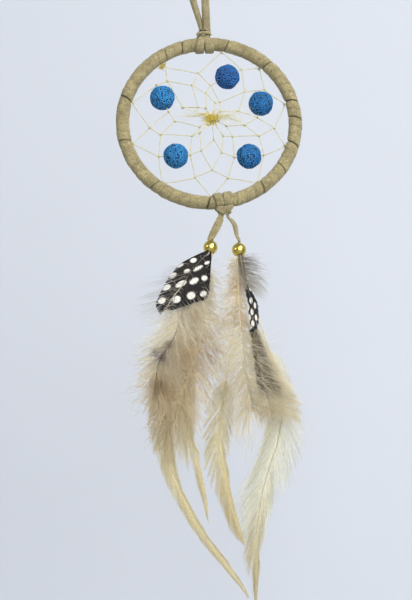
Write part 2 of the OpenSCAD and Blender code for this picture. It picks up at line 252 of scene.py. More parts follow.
class Nodes:
    """Short forms for the nodes of one material."""

    def __init__(self, name):
        self.mat = bpy.data.materials.new(name)
        self.mat.use_nodes = True
        self.tree = self.mat.node_tree
        self.shader = self.tree.nodes["Principled BSDF"]
        self.out = self.tree.nodes["Material Output"]

    def node(self, kind, **settings):
        n = self.tree.nodes.new(kind)
        for key, value in settings.items():
            setattr(n, key, value)
        return n

    def link(self, a, b):
        self.tree.links.new(a, b)

    def feed(self, socket, value):
        """Gives a socket another node's output, a colour or a number."""
        if hasattr(value, "links"):
            self.link(value, socket)
        elif np.ndim(value):
            socket.default_value = (*value, 1)
        else:
            socket.default_value = value

    def place(self, scale):
        coords = self.node("ShaderNodeTexCoord")
        mapping = self.node("ShaderNodeMapping")
        mapping.inputs["Scale"].default_value = scale if np.ndim(scale) else (scale,) * 3
        self.link(coords.outputs["Object"], mapping.inputs["Vector"])
        return mapping.outputs["Vector"]

    def noise(self, scale, detail=4, rough=0.6, distort=0.0):
        n = self.node("ShaderNodeTexNoise")
        n.inputs["Detail"].default_value = detail
        n.inputs["Roughness"].default_value = rough
        n.inputs["Distortion"].default_value = distort
        n.inputs["Scale"].default_value = 1
        self.link(self.place(scale), n.inputs["Vector"])
        return n.outputs["Fac"]

    def voronoi(self, scale):
        n = self.node("ShaderNodeTexVoronoi")
        n.inputs["Scale"].default_value = 1
        self.link(self.place(scale), n.inputs["Vector"])
        return n.outputs["Distance"]

    def ramp(self, value, stops):
        n = self.node("ShaderNodeValToRGB")
        while len(n.color_ramp.elements) < len(stops):
            n.color_ramp.elements.new(0.5)
        for e, (pos, rgb) in zip(n.color_ramp.elements, stops):
            e.position = pos
            e.color = (*(rgb if np.ndim(rgb) else (rgb,) * 3), 1)
        self.link(value, n.inputs["Fac"])
        return n.outputs["Color"]

    def mix(self, a, b, factor, blend="MIX"):
        n = self.node("ShaderNodeMix", data_type="RGBA", blend_type=blend)
        for key, value in (("Factor", factor), ("A", a), ("B", b)):
            self.feed(next(s for s in n.inputs if s.name == key and s.enabled), value)
        return next(s for s in n.outputs if s.enabled)

    def attribute(self):
        return self.node("ShaderNodeAttribute", attribute_name="Col").outputs["Color"]

    def bump(self, height, strength, distance):
        n = self.node("ShaderNodeBump")
        n.inputs["Strength"].default_value = strength
        n.inputs["Distance"].default_value = distance
        self.link(height, n.inputs["Height"])
        self.link(n.outputs["Normal"], self.shader.inputs["Normal"])

    def set(self, **values):
        for key, value in values.items():
            self.feed(self.shader.inputs[key.replace("_", " ")], value)

    def mix_surface(self, factor, other):
        """Mixes another shader into the material's own."""
        n = self.node("ShaderNodeMixShader")
        for socket, value in zip(n.inputs, (factor, self.shader.outputs[0], other)):
            self.feed(socket, value)
        self.link(n.outputs[0], self.out.inputs["Surface"])


def suede_material():
    m = Nodes("suede")
    shade = m.mix(colour(128, 113, 74), colour(198, 186, 144), m.noise(900, 6, 0.7))
    blotch = m.ramp(m.noise(300, 3), [(0.32, 0.74), (0.68, 1.1)])
    base = m.mix(shade, blotch, 1.0, "MULTIPLY")
    fibre = m.noise((5200, 2400, 5200), 5, 0.75, 1.5)
    speck = m.ramp(fibre, [(0.32, 0.6), (0.62, 1.12)])
    base = m.mix(base, speck, 0.8, "MULTIPLY")
    mottle = m.ramp(m.noise(2100, 3, 0.6, 0.8), [(0.36, 0.62), (0.62, 1.2)])
    base = m.mix(base, mottle, 0.8, "MULTIPLY")
    base = m.mix(base, m.attribute(), 1.0, "MULTIPLY")
    m.set(Base_Color=base, Roughness=m.ramp(fibre, [(0, 0.82), (1, 0.97)]))
    m.set(Specular_IOR_Level=0.15, Sheen_Weight=0.35, Sheen_Roughness=0.55, Sheen_Tint=colour(225, 218, 190))
    m.bump(fibre, 0.8, 0.00025)
    return m.mat


def thread_material():
    m = Nodes("thread")
    tone = m.ramp(m.noise(700, 3), [(0.3, 0.85), (0.7, 1.08)])
    base = m.mix(m.attribute(), tone, 1.0, "MULTIPLY")
    fibre = m.noise(9000, 4, 0.7)
    m.set(Base_Color=base, Roughness=m.ramp(fibre, [(0, 0.45), (1, 0.7)]))
    m.set(Sheen_Weight=0.25, Specular_IOR_Level=0.35)
    m.bump(fibre, 0.4, 0.00006)
    return m.mat


def lava_material():
    m = Nodes("lava")
    grain = m.voronoi(2600)
    tone = m.ramp(m.noise(420, 4, 0.65), [(0.3, 0.72), (0.7, 1.22)])
    base = m.mix(m.attribute(), tone, 1.0, "MULTIPLY")
    base = m.mix(base, m.ramp(grain, [(0.0, 0.5), (0.6, 1.25)]), 0.9, "MULTIPLY")
    m.set(Base_Color=base, Roughness=m.ramp(grain, [(0, 0.92), (1, 0.6)]), Specular_IOR_Level=0.3)
    m.bump(grain, 0.7, 0.00018)
    return m.mat


def gold_material():
    m = Nodes("gold")
    wear = m.noise(1400, 5, 0.7)
    base = m.mix(colour(204, 176, 72), colour(238, 219, 128), wear)
    m.set(Base_Color=base, Roughness=m.ramp(wear, [(0.2, 0.12), (0.8, 0.26)]), Metallic=1.0)
    m.bump(m.noise(3000, 2), 0.05, 0.00005)
    return m.mat


def wire_material():
    m = Nodes("wire")
    drawn = m.noise((300, 300, 9000), 3)
    base = m.mix(colour(120, 122, 125), colour(176, 178, 180), drawn)
    m.set(Base_Color=base, Metallic=1.0, Roughness=m.ramp(drawn, [(0, 0.3), (1, 0.5)]))
    m.bump(drawn, 0.1, 0.00005)
    return m.mat


def feather_material(name, clear, rough=0.55):
    """A feather whose colour is painted on its barbs; clear is how much light comes through them."""
    m = Nodes(name)
    tone = m.ramp(m.noise(1600, 3), [(0.3, 0.9), (0.7, 1.06)])
    base = m.mix(m.attribute(), tone, 1.0, "MULTIPLY")
    m.set(Base_Color=base, Roughness=m.ramp(m.noise(5000, 2), [(0, rough - 0.1), (1, rough + 0.15)]))
    m.set(Specular_IOR_Level=0.25, Sheen_Weight=0.12, Sheen_Roughness=0.4)
    m.bump(m.noise(12000, 2), 0.2, 0.00003)
    through = m.node("ShaderNodeBsdfTranslucent")
    m.link(base, through.inputs["Color"])
    m.mix_surface(clear, through.outputs[0])
    return m.mat


SUEDE = suede_material()
THREAD = thread_material()
LAVA = lava_material()
GOLD = gold_material()
WIRE = wire_material()
SPOTTED = feather_material("spotted_feather", 0.12)
DOWN = feather_material("cream_feather", 0.5, 0.7)
BROWN = feather_material("brown_feather", 0.45, 0.65)
HACKLE = feather_material("tan_feather", 0.45, 0.45)


def dress(obj, material, slot, body, *replaced):
    """Gives a piece its material and body, and hides the CAD nodes it stands for; slot is not used."""
    obj.data.materials.clear()
    obj.data.materials.append(material)
    if replaced:
        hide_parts(*replaced)
    if body:
        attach(obj, body)
    return obj


# ---------------------------------------------------------------- camera, lights and stage

CAMERA_BELOW = math.radians(17.5)
CAMERA_LEFT = math.radians(2)
CAMERA_DISTANCE = 450 * MM
CAMERA_HEIGHT_ANGLE = math.radians(23.22)
CAMERA_SENSOR = 36
AIM = RING + np.array([-1.0, 0, -59.8]) * MM
LIGHTS_AIM = Vector(RING) - Vector((0, 0, 0.04))
WALL_Y = 190 * MM
FLOOR_Z = -0.42
STAGE_REACH = 2.5


def add_camera():
    data = bpy.data.cameras.new("camera")
    data.sensor_width = CAMERA_SENSOR
    data.lens = data.sensor_width / 2 / math.tan(CAMERA_HEIGHT_ANGLE / 2)
    data.clip_start = 0.01
    cam = bpy.data.objects.new("camera", data)
    bpy.context.scene.collection.objects.link(cam)
    away = Vector((
        -math.sin(CAMERA_LEFT) * math.cos(CAMERA_BELOW),
        -math.cos(CAMERA_LEFT) * math.cos(CAMERA_BELOW),
        -math.sin(CAMERA_BELOW),
    ))
    cam.location = Vector(AIM) + away * CAMERA_DISTANCE
    cam.rotation_euler = (-away).to_track_quat("-Z", "Y").to_euler()
    bpy.context.scene.camera = cam


def add_light(name, place, size, power, tint=(1, 1, 1)):
    data = bpy.data.lights.new(name, "AREA")
    data.shape = "DISK"
    data.size = size
    data.energy = power
    data.color = tint
    lamp = bpy.data.objects.new(name, data)
    lamp.location = place
    lamp.rotation_euler = (LIGHTS_AIM - Vector(place)).to_track_quat("-Z", "Y").to_euler()
    bpy.context.scene.collection.objects.link(lamp)


def stage_material(name, tone, one_sided=False):
    """Painted plaster with a faint grain; the wall is open to a view from behind it."""
    m = Nodes(name)
    grain = m.noise(900, 4)
    patch = m.ramp(m.noise(9, 2), [(0.3, 0.985), (0.7, 1.0)])
    base = m.mix(m.mix(tone, tone * 0.985, grain), patch, 1.0, "MULTIPLY")
    m.set(Base_Color=base, Roughness=0.9, Specular_IOR_Level=0.1)
    m.bump(grain, 0.04, 0.0001)
    if one_sided:
        back = m.node("ShaderNodeNewGeometry").outputs["Backfacing"]
        m.mix_surface(back, m.node("ShaderNodeBsdfTransparent").outputs[0])
    return m.mat


def plane(name, near, far, paint):
    """A plane as wide as the stage, between two (y, z) edges."""
    corners = [(x, *edge) for x, edge in zip((-1, 1, 1, -1), (near, near, far, far))]
    obj = mesh_object(name, np.array(corners) * (STAGE_REACH, 1, 1), [np.array([[0, 1, 2, 3]])])
    obj.data.materials.append(paint)
    return obj


def add_stage():
    wall_paint = stage_material("wall_paint", colour(205, 208, 214), one_sided=True)
    wall = plane("wall", (WALL_Y, FLOOR_Z), (WALL_Y, STAGE_REACH), wall_paint)
    floor_paint = stage_material("floor_paint", colour(172, 175, 180))
    floor = plane("floor", (-STAGE_REACH, FLOOR_Z), (STAGE_REACH, FLOOR_Z), floor_paint)
    wall.visible_shadow = False


def add_world(strength):
    world = bpy.data.worlds.new("world")
    world.use_nodes = True
    sky = world.node_tree.nodes["Background"].inputs
    sky["Color"].default_value = (*colour(232, 238, 246), 1)
    sky["Strength"].default_value = strength
    bpy.context.scene.world = world


bpy.context.scene.view_settings.view_transform = "Standard"
add_camera()
add_stage()
add_world(0.44)
add_light("key", (0.42, -0.62, 0.38), 0.4, 3.4, (1.0, 0.985, 0.96))
add_light("front", (0.24, -0.85, -0.05), 0.95, 8.0, (0.97, 0.985, 1.0))
add_light("side", (-0.72, -0.45, 0.0), 0.2, 0.7)
add_light("back", (-0.2, 0.8, 0.3), 0.8, 4.5)


# ---------------------------------------------------------------- the hanging strands

STRAND_FOOT = box_of("hanger_strand_left")[0][2]
STRAND_TOP = box_of("hanger_knot")[0][2]
LEFT_STRAND = [
    (-0.8, -37.7), (-0.8, -37.2), (-1.1, -36), (-2.2, -32), (-3.8, -26), (-4.8, -20),
    (-5, -14), (-4.6, -8), (-3.4, -3), (-1.8, 1), (-1, 3),
]
RIGHT_STRAND = [
    (0.8, -37.7), (0.8, -37.2), (0.7, -36), (0.5, -32), (0.3, -26), (0.6, -20),
    (1.2, -14), (1.8, -8), (2.2, -3), (1.6, 1), (1, 3),
]


def add_strand(name, node, stations):
    """A flat lace from the hitch to the knot, turned a little about its own line on the way."""
    points = [(x * MM, 0, z * MM) for x, z in stations]
    points[0] = (points[0][0], 0, STRAND_FOOT)
    points.append((points[-1][0], 0, STRAND_TOP))
    path = smooth_path(points, 90)
    turn = np.linspace(0, 1, len(path))
    lean = np.radians(38 + 13 * np.sin(turn * 5 + points[2][0] * 900))
    up = np.stack([np.cos(lean), -np.sin(lean), np.zeros(len(path))], 1)
    parts = Parts()
    ragged = 1 + 0.03 * wave(np.arange(len(path)) * 0.9, 5)
    outline = lace_outline(LACE_W, LACE_T, cup=0.12 * MM)
    # Painted shade and light: one side of the lace's width is painted darker and the other lighter, as if lit from one
    # side.
    painted_side_shade = np.tile(0.88 + 0.3 * outline[:, 0] / LACE_W, len(path))[:, None]
    sweep(parts, path, outline, up, (1, 1, 1), scale=ragged)
    parts.colours[-1] = parts.colours[-1] * painted_side_shade
    strand = dress(parts.build(name), SUEDE, "suede", None, node)
    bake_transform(strand)


add_strand("strand_left", "hanger_strand_left", LEFT_STRAND)
add_strand("strand_right", "hanger_strand_right", RIGHT_STRAND)


# ---------------------------------------------------------------- the wrap on the hoop

WRAP_TURNS = 58
ROWS_PER_TURN = 26
WRAP_SIDES = 56
NAP_HAIRS = 5200
HELIX_STEP = 2 * math.pi / WRAP_TURNS
ANCHOR_ANGLES = np.radians([81, 50, 16, -17, -53, -88.5, -125, -163, 165])
HELIX_START = math.radians(1.5)


def seam_at(angle):
    """The number of the seam between two turns that crosses the inside of the tube at this angle."""
    return int(round(((angle - HELIX_START) % (2 * math.pi)) / HELIX_STEP + 0.5))


SEAM_DEPTHS = (
    [(a, 0.30, 0.06, 0.10) for a in ANCHOR_ANGLES]
    + [(math.radians(a), 0.55, 0.075, 0.16) for a in (165, 16, -17, -88.5)]
    + [(math.radians(a), 0.5, 0.06, 0.0) for a in (3, 109)]
    + [(math.radians(a), 0.3, 0.05, 0.0) for a in (-31, 124, 88.5)]
)


def tube_point(angle, v, r):
    """A point at distance r from the hoop's centreline; v runs round the tube from its outer side."""
    out = np.stack([np.cos(angle), np.zeros_like(angle), np.sin(angle)], -1)
    return RING + out * (HOOP_R + r * np.cos(v))[..., None] + Y_AXIS * (r * np.sin(v))[..., None]


def wrap_shape(angle, v):
    """Radius and tone of the wound lace: crowned turns, thin seams, and pinches where the web is tied. The tone holds
    painted shade in the seams and a painted highlight on the crowns.
    """
    phase = (angle - HELIX_START) / HELIX_STEP + v / (2 * math.pi)
    turn = np.floor(phase)
    s = phase - turn
    along = 2 * math.pi * turn - v
    rise = wave(along * 0.37, 11)
    seam = np.minimum(s, 1 - s)
    nearest = np.round(phase) % WRAP_TURNS
    depth = 0.06 + 0.05 * wave(np.round(phase) * 2.1 + v * 0.9, 17) + 0.04 * wave(angle * 9 + v, 19)
    depth = np.clip(depth, 0.0, 1)
    width = 0.05 + 0.02 * wave(np.round(phase) * 1.3 + v * 0.6, 18)
    pinch = np.zeros_like(depth)
    for at, deep, wide, squeezed in SEAM_DEPTHS:
        near = nearest == seam_at(at) % WRAP_TURNS
        depth = np.where(near, deep * (1 + 0.25 * wave(v * 1.5, 21)), depth)
        width = np.where(near, wide, width)
        pinch = np.where(near, squeezed, pinch)
    cut = np.exp(-((seam / width) ** 2))
    crown = 1 - (2 * s - 1) ** 4
    lap = 0.06 * (0.5 - s) * (1 + 0.8 * wave(turn * 1.7, 27))
    drop = 0.20 - 0.07 * crown - lap - 0.07 * rise
    drop += depth * cut + pinch * np.exp(-((seam / 0.35) ** 2)) + 0.03 * wave(along * 5.1 + s * 9, 23)
    streak = wave(along * 2.3 + s * 47, 31) + 0.6 * wave(s * 63 + turn * 5, 33)
    # Painted highlight: each turn's crown, and stretches where the lace stands higher, are painted lighter; the streaks
    # are the suede's own tone.
    tone = 1.0 + 0.08 * rise + 0.05 * crown + 0.11 * streak
    # Painted shade: each seam is painted darker the deeper it is.
    tone *= 1 - np.clip(depth * 2.4, 0, 0.88) * np.exp(-((seam / (width * 1.15)) ** 2))
    tone *= 1 + 0.05 * wave(along * 11.3 + s * 31, 29)
    return TUBE_R - np.clip(drop, 0, None) * MM, tone


def add_wrap():
    rows, cols = WRAP_TURNS * ROWS_PER_TURN, WRAP_SIDES
    angle = np.linspace(0, 2 * math.pi, rows, endpoint=False)[:, None]
    v = np.linspace(0, 2 * math.pi, cols, endpoint=False)[None, :]
    angle, v = np.broadcast_arrays(angle, v)
    r, tone = wrap_shape(angle, v)
    verts = tube_point(angle, v, r).reshape(-1, 3)
    tint = np.stack([tone, tone * 0.99, tone * 0.96], -1).reshape(-1, 3)
    wrap = mesh_object("hoop_wrap", verts, [grid_faces(rows, cols, wrap_rows=True)], tint)
    dress(wrap, SUEDE, "suede", "hoop", "ring_wrap")


def fibres(parts, roots, headings, lengths, radius, segments, bend, seed, tone):
    """Short tapered hairs, three sided, that start along their headings and wander."""
    rng = np.random.default_rng(seed)
    n = len(roots)
    t = np.linspace(0, 1, segments + 1)[None, :, None]
    wander = unit(rng.normal(size=(n, 3)))[:, None]
    line = roots[:, None] + (headings[:, None] * t + wander * bend * t**2) * lengths[:, None, None]
    r = np.full((n, segments + 1), radius)
    add_ribbons(parts, line, r, r, tone)


def add_ribbons(parts, lines, wide, thick, tone, flat_normal=None):
    """Many tapered three-sided strands: lines (n, k, 3), half widths and half thicknesses (n, k)."""
    n, k = lines.shape[:2]
    t = unit(np.gradient(lines, axis=1))
    if flat_normal is None:
        flat_normal = np.broadcast_to(Y_AXIS, lines.shape)
    side = unit(np.cross(t, flat_normal))
    up = np.cross(side, t)
    taper = np.ones(k)
    taper[-1] = 0.12
    w = (wide * taper)[..., None]
    h = (thick * taper)[..., None]
    rings = np.stack([lines - side * w - up * h * 0.5, lines + side * w - up * h * 0.5, lines + up * h], 2)
    base = (np.arange(n) * k * 3)[:, None, None]
    j = (np.arange(k - 1) * 3)[None, :, None]
    c = np.arange(3)[None, None, :]
    a, b = base + j + c, base + j + (c + 1) % 3
    quads = np.stack([a, b, b + 3, a + 3], -1).reshape(-1, 4)
    first = base[:, 0, 0]
    last = first + (k - 1) * 3
    tris = np.vstack([np.stack([first + 2, first + 1, first], 1), np.stack([last, last + 1, last + 2], 1)])
    parts.add(rings.reshape(-1, 3), quads, tris, np.repeat(tone.reshape(n * k, 3), 3, axis=0))


def add_wrap_nap():
    """The suede's raised fibres, which soften the hoop's outline."""
    rng = np.random.default_rng(41)
    angle = rng.uniform(0, 2 * math.pi, NAP_HAIRS)
    v = rng.uniform(0, 2 * math.pi, NAP_HAIRS)
    r, tone = wrap_shape(angle, v)
    roots = tube_point(angle, v, r - 0.03 * MM)
    out = unit(tube_point(angle, v, r + MM) - roots)
    heading = unit(out + 0.9 * rng.normal(size=(NAP_HAIRS, 3)))
    parts = Parts()
    shade = (tone * rng.uniform(0.95, 1.25, NAP_HAIRS))[:, None, None] * np.ones((1, 3, 3))
    lengths = rng.uniform(0.18, 0.5, NAP_HAIRS) * MM
    fibres(parts, roots, heading, lengths, 0.011 * MM, 2, 0.6, 43, shade)
    dress(parts.build("wrap_nap"), SUEDE, "suede", "hoop")


# ---------------------------------------------------------------- hitches and pendant laces

HITCH_R = (box_of("hanger_hitch")[1][1] - box_of("hanger_hitch")[0][1]) / 2
BAND_T = 0.7 * MM
BAND_W = 2.8 * MM
BAND_R = HITCH_R - BAND_T / 2 - 0.15 * MM
BAND_OFFSET = 1.58 * MM
BAND_STEPS = 110
THROAT_R = 3.72 * MM
THROAT_ANGLE = 36
TAIL_W = 2.5 * MM


def hitch_frame(joint_name):
    """Centre, direction along the tube, and direction away from the hoop's centre."""
    at = joint_point(joint_name)
    along = joint_axis(joint_name)
    out = unit(at - RING)
    return at, along, unit(out - along * (out @ along))


def lace_sweep(parts, points, up, width, thick, count, seed, taper=(1, 1)):
    """A lace through the points, with a slightly uneven cut."""
    path = smooth_path(points, count)
    if np.ndim(up) == 2:
        t, u = np.linspace(0, 1, len(up)), np.linspace(0, 1, count)
        up = unit(np.stack([np.interp(u, t, np.asarray(up)[:, k]) for k in range(3)], 1))
    scale = 1 + 0.035 * wave(np.arange(count) * 0.7, seed)
    scale = scale * np.interp(np.linspace(0, 1, count), np.linspace(0, 1, len(taper)), taper)
    shade = (1 + 0.07 * wave(np.arange(count) * 0.5, seed + 1))[:, None] * np.ones(3)
    outline = lace_outline(width, thick, cup=0.05 * MM)
    # Painted highlight: both edges of the lace are painted lighter.
    edge = 1 + 0.10 * np.abs(outline[:, 0] / (width / 2)) ** 6
    verts = Parts()
    sweep(verts, path, outline, up, shade, scale=scale)
    painted = verts.colours[0] * np.tile(edge, count)[:, None]
    parts.add(verts.verts[0], verts.quads[0], verts.tris[0], painted)
    return path


def add_band(parts, at, along, out, offset, foot, last, pinch, narrow, seed):
    """One side of a lark's head: from the throat round the back of the tube, and up the front to the bar."""
    neck = at + along * (foot[0] * 0.55 + offset * 0.45) + out * THROAT_R + Y_AXIS * 0.5 * MM
    points = [at + along * foot[0] + out * foot[1], neck]
    for a in np.linspace(math.radians(THROAT_ANGLE), math.radians(last), 15):
        r = BAND_R + 0.05 * MM * math.sin(3 * a + seed)
        spread = np.interp(math.degrees(a), [THROAT_ANGLE, 90, 180, 225, 300], [0.75, 1, 1.03, 0.98, pinch])
        points.append(at + along * (offset * spread) + out * r * math.cos(a) + Y_AXIS * r * math.sin(a))
    path = smooth_path(points, BAND_STEPS)
    axis_point = at + along * ((path - at) @ along)[:, None]
    up = unit(path - axis_point)
    step = np.arange(BAND_STEPS)
    shade = 1 + 0.06 * wave(step * 0.35, seed)
    # Painted shadow: the band's last stretch, under the bar, is painted darker.
    shade = (shade * np.interp(step, [0, 98, 104, 109], [1, 1, 0.5, 0.45]))[:, None] * np.ones(3)
    flat = np.interp(step, [0, 14, 24, 76, 109], [0.62, 0.75, 1, 1, narrow])[:, None, None]
    outline = lace_outline(BAND_W, BAND_T, cup=-0.04 * MM) * np.concatenate([flat, np.ones_like(flat)], 2)
    sweep(parts, path, outline, up, shade)


def add_hitch(name, body, node, joint_name, feet, bands, bar_place, bar_face, bar_size, taper, seed):
    """A lark's head; the bar's place and facing are angles from straight out of the hoop towards the front."""
    at, along, out = hitch_frame(joint_name)
    parts = Parts()
    for offset, foot in zip((-BAND_OFFSET, BAND_OFFSET), feet):
        add_band(parts, at, along, out, offset, foot, *bands, seed + (offset > 0))
    place = out * math.cos(bar_place) - Y_AXIS * math.sin(bar_place)
    face = out * math.cos(bar_face) - Y_AXIS * math.sin(bar_face)
    seat = at + place * (HITCH_R + 0.4 * MM)
    down = out * math.sin(bar_face) + Y_AXIS * math.cos(bar_face)
    bar = []
    half = [(-2.75, -0.8), (-2.35, -0.25), (-1.4, 0.05)]
    for x, lift in half + [(0, 0.1)] + [(-x, lift) for x, lift in half[::-1]]:
        fall = (taper - 1) * abs(x / 2.75) * bar_size[1] / 2 * MM
        bar.append(seat + along * x * bar_size[0] * MM + face * lift * MM + down * fall)
    lace_sweep(parts, bar, face, bar_size[1] * MM, 0.8 * MM, 70, seed + 3, taper=[taper, 1, taper])
    dress(parts.build(name), SUEDE, "suede", body, node)


def add_hanger_hitch():
    height = (STRAND_FOOT - joint_point("hoop_tilt")[2]) + 0.1 * MM
    add_hitch(
        "top_lark_head", "top_hitch", "hanger_hitch", "hoop_tilt",
        [(-0.8 * MM, height), (0.8 * MM, height)],
        (322, 0.46, 0.58), math.radians(38), math.radians(38), (0.8, 1.7), 1, 3,
    )


def add_pendant_hitch():
    add_hitch(
        "bottom_lark_head", "bottom_hitch", "pendant_hitch", "pendant_roll",
        [(-0.9 * MM, 3.9 * MM), (0.9 * MM, 3.9 * MM)],
        (330, 0.74, 0.8), math.radians(24), math.radians(58), (0.95, 2.9), 0.35, 7,
    )


def add_tail(side, route, facing, thick, seed, taper, into):
    """A pendant tail: its route in millimetres from the spread hinge, then on into the bead."""
    start, end = joint_point(side + "_lace_spread"), joint_point(side + "_bunch_swing")
    points = [start + np.array(p) * MM for p in route]
    points += [end, end + into * (np.array([0, 0, -0.55]) * MM)]
    parts = Parts()
    lace_sweep(parts, points, facing, TAIL_W, thick, 60, seed, taper=taper)
    dress(parts.build(side + "_lace_tail"), SUEDE, "suede", side + "_lace", side + "_pendant_lace")


def add_pendant_laces():
    add_tail(
        "left", [(0.35, -0.2, 1.4), (0.1, -0.05, 0.1), (-0.75, -0.1, -2.4), (-2.1, 0, -5.2)],
        [(0.35, -1, 0.1), (0.3, -1, 0), (0.1, -1, 0), (0, -1, 0)],
        LACE_T * 0.9, 61, [0.45, 0.9, 1, 0.92, 0.72], 1,
    )
    add_tail(
        "right", [(0.05, 0.6, 0.9), (0.15, 0.4, 0), (1.05, 0.15, -1.0), (1.9, 0, -2.2), (2.35, 0, -3.5),
                  (2.6, 0, -5.1), (2.85, 0, -6.4)],
        [(0.8, -0.6, 0.35), (0.8, -0.6, 0.3), (0.95, -0.4, 0.1), (0.97, -0.3, 0.1)],
        LACE_T * 0.85, 67, [0.45, 0.8, 1, 0.9, 0.72], 0.8,
    )
    for side, bead, size in (("left", LEFT_BEAD, (1.9, 1.1)), ("right", RIGHT_BEAD, (1.1, 1.9))):
        parts = Parts()
        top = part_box(side + "_lace_tip")[1][2]
        path = smooth_path([(bead[0], 0, z) for z in (top, bead[2] + 1.2 * MM, bead[2] + 0.15 * MM)], 12)
        sweep(parts, path, lace_outline(size[0] * MM, size[1] * MM), Y_AXIS, (0.9, 0.9, 0.9))
        dress(parts.build(side + "_glued_end"), SUEDE, "suede", side + "_bunch", side + "_lace_tip")


# ---------------------------------------------------------------- the knot that closes the loop, and the wire

def add_hanger_knot():
    """An overhand knot: two laces drawn through each other, with the short ends above."""
    middle = np.array([0, 0, STRAND_TOP + 3.3 * MM])
    parts = Parts()
    for height, lean, seed in ((-1.55, 0.34, 81), (1.45, -0.3, 82), (0.1, 1.0, 83)):
        a = np.linspace(0, 2 * math.pi, 72, endpoint=False)
        r = (2.55 + 0.12 * np.sin(3 * a + seed)) * MM
        rise = height * MM + r * lean * np.cos(a + seed * 0.01)
        ring = middle + np.stack([r * np.cos(a), 0.92 * r * np.sin(a), rise], 1)
        shade = (1 + 0.07 * wave(a * 3, seed))[:, None] * np.ones(3)
        outline = lace_outline((2.5 if lean < 1 else 2.2) * MM, 1.05 * MM)
        sweep(parts, ring, outline, unit(ring - middle), shade, closed=True)
    # Painted shade: the core inside the rings is painted darker than the laces.
    core = middle + np.linspace(-2.9, 2.7, 20)[:, None] * MM * Z_AXIS
    sweep(parts, core, circle(1.75 * MM, 24), Y_AXIS, (0.85, 0.85, 0.85))
    for side in (-1, 1):
        stub = [middle + np.array([side * x, 0, z]) * MM for x, z in ((1.0, -3.2), (0.9, -2.2), (0.6, -0.8))]
        lace_sweep(parts, stub, (0.6, -0.8, 0), 2.6 * MM, LACE_T, 16, 86 + side)
        tail = [middle + np.array([side * x, y, z]) * MM for x, y, z in (
            (0.5, 0, 1.4), (1.1, 0.1, 2.9), (1.7, 0.15 * side, 5), (2.3, 0, 7.4), (2.85, -0.1 * side, 10)
        )]
        facing = [(side, 0.1, -0.25), (side, 0.35, -0.25), (side, 0.15, -0.2)]
        lace_sweep(parts, tail, facing, LACE_W, LACE_T, 44, 90 + side)
    dress(parts.build("overhand_knot"), SUEDE, "suede", "hanger", "hanger_knot")


def add_wire_ring():
    """The steel ring inside the wrap, with the small swelling of its butt weld."""
    low, high = box_of("wire_ring")
    wire_r = (high[1] - low[1]) / 2
    a = np.linspace(0, 2 * math.pi, 360, endpoint=False)
    ring = RING + HOOP_R * np.stack([np.cos(a), np.zeros_like(a), np.sin(a)], 1)
    weld = 1 + 0.1 * np.exp(-(((a - math.radians(200)) / 0.02) ** 2))
    parts = Parts()
    sweep(parts, ring, circle(wire_r, 20), Y_AXIS, (1, 1, 1), closed=True, scale=weld)
    dress(parts.build("steel_ring"), WIRE, "wire", "hoop", "wire_ring")


# ---------------------------------------------------------------- beads

def lathe(name, at, axis, section, sides, shape=None):
    """A closed body of revolution: section rows of (radius, height) along the axis."""
    axis = unit(axis)
    across = unit(np.cross(axis, Y_AXIS if abs(axis[1]) < 0.9 else X_AXIS))
    other = np.cross(axis, across)
    a = np.arange(sides) * 2 * math.pi / sides
    ring = np.cos(a)[:, None] * across + np.sin(a)[:, None] * other
    verts = ring[None] * section[:, None, :1] + axis * section[:, None, 1:]
    tint = np.ones_like(verts)
    if shape is not None:
        verts, tint = shape(verts)
    verts = verts + at
    faces = [grid_faces(len(section), sides, wrap_rows=True)]
    return mesh_object(name, verts.reshape(-1, 3), faces, tint.reshape(-1, 3))


def bead_profile(radius, bore, lip, rows):
    """Bead section from the bottom lip over the outside to the top lip, then down the bore."""
    a = np.linspace(-1, 1, rows) * math.acos((bore + lip) / radius)
    outside = np.stack([radius * np.cos(a), radius * np.sin(a)], 1)
    top = outside[-1, 1] - lip * 0.4
    inside = np.stack([np.full(8, bore), np.linspace(top, -top, 8)], 1)
    return np.vstack([outside, inside])


def add_gold_bead(side, at):
    bead = lathe(side + "_gold_ball", at, Z_AXIS, bead_profile(GOLD_R, GOLD_BORE, 0.12 * MM, 64), 96)
    dress(bead, GOLD, "gold", side + "_bunch", side + "_gold_bead")


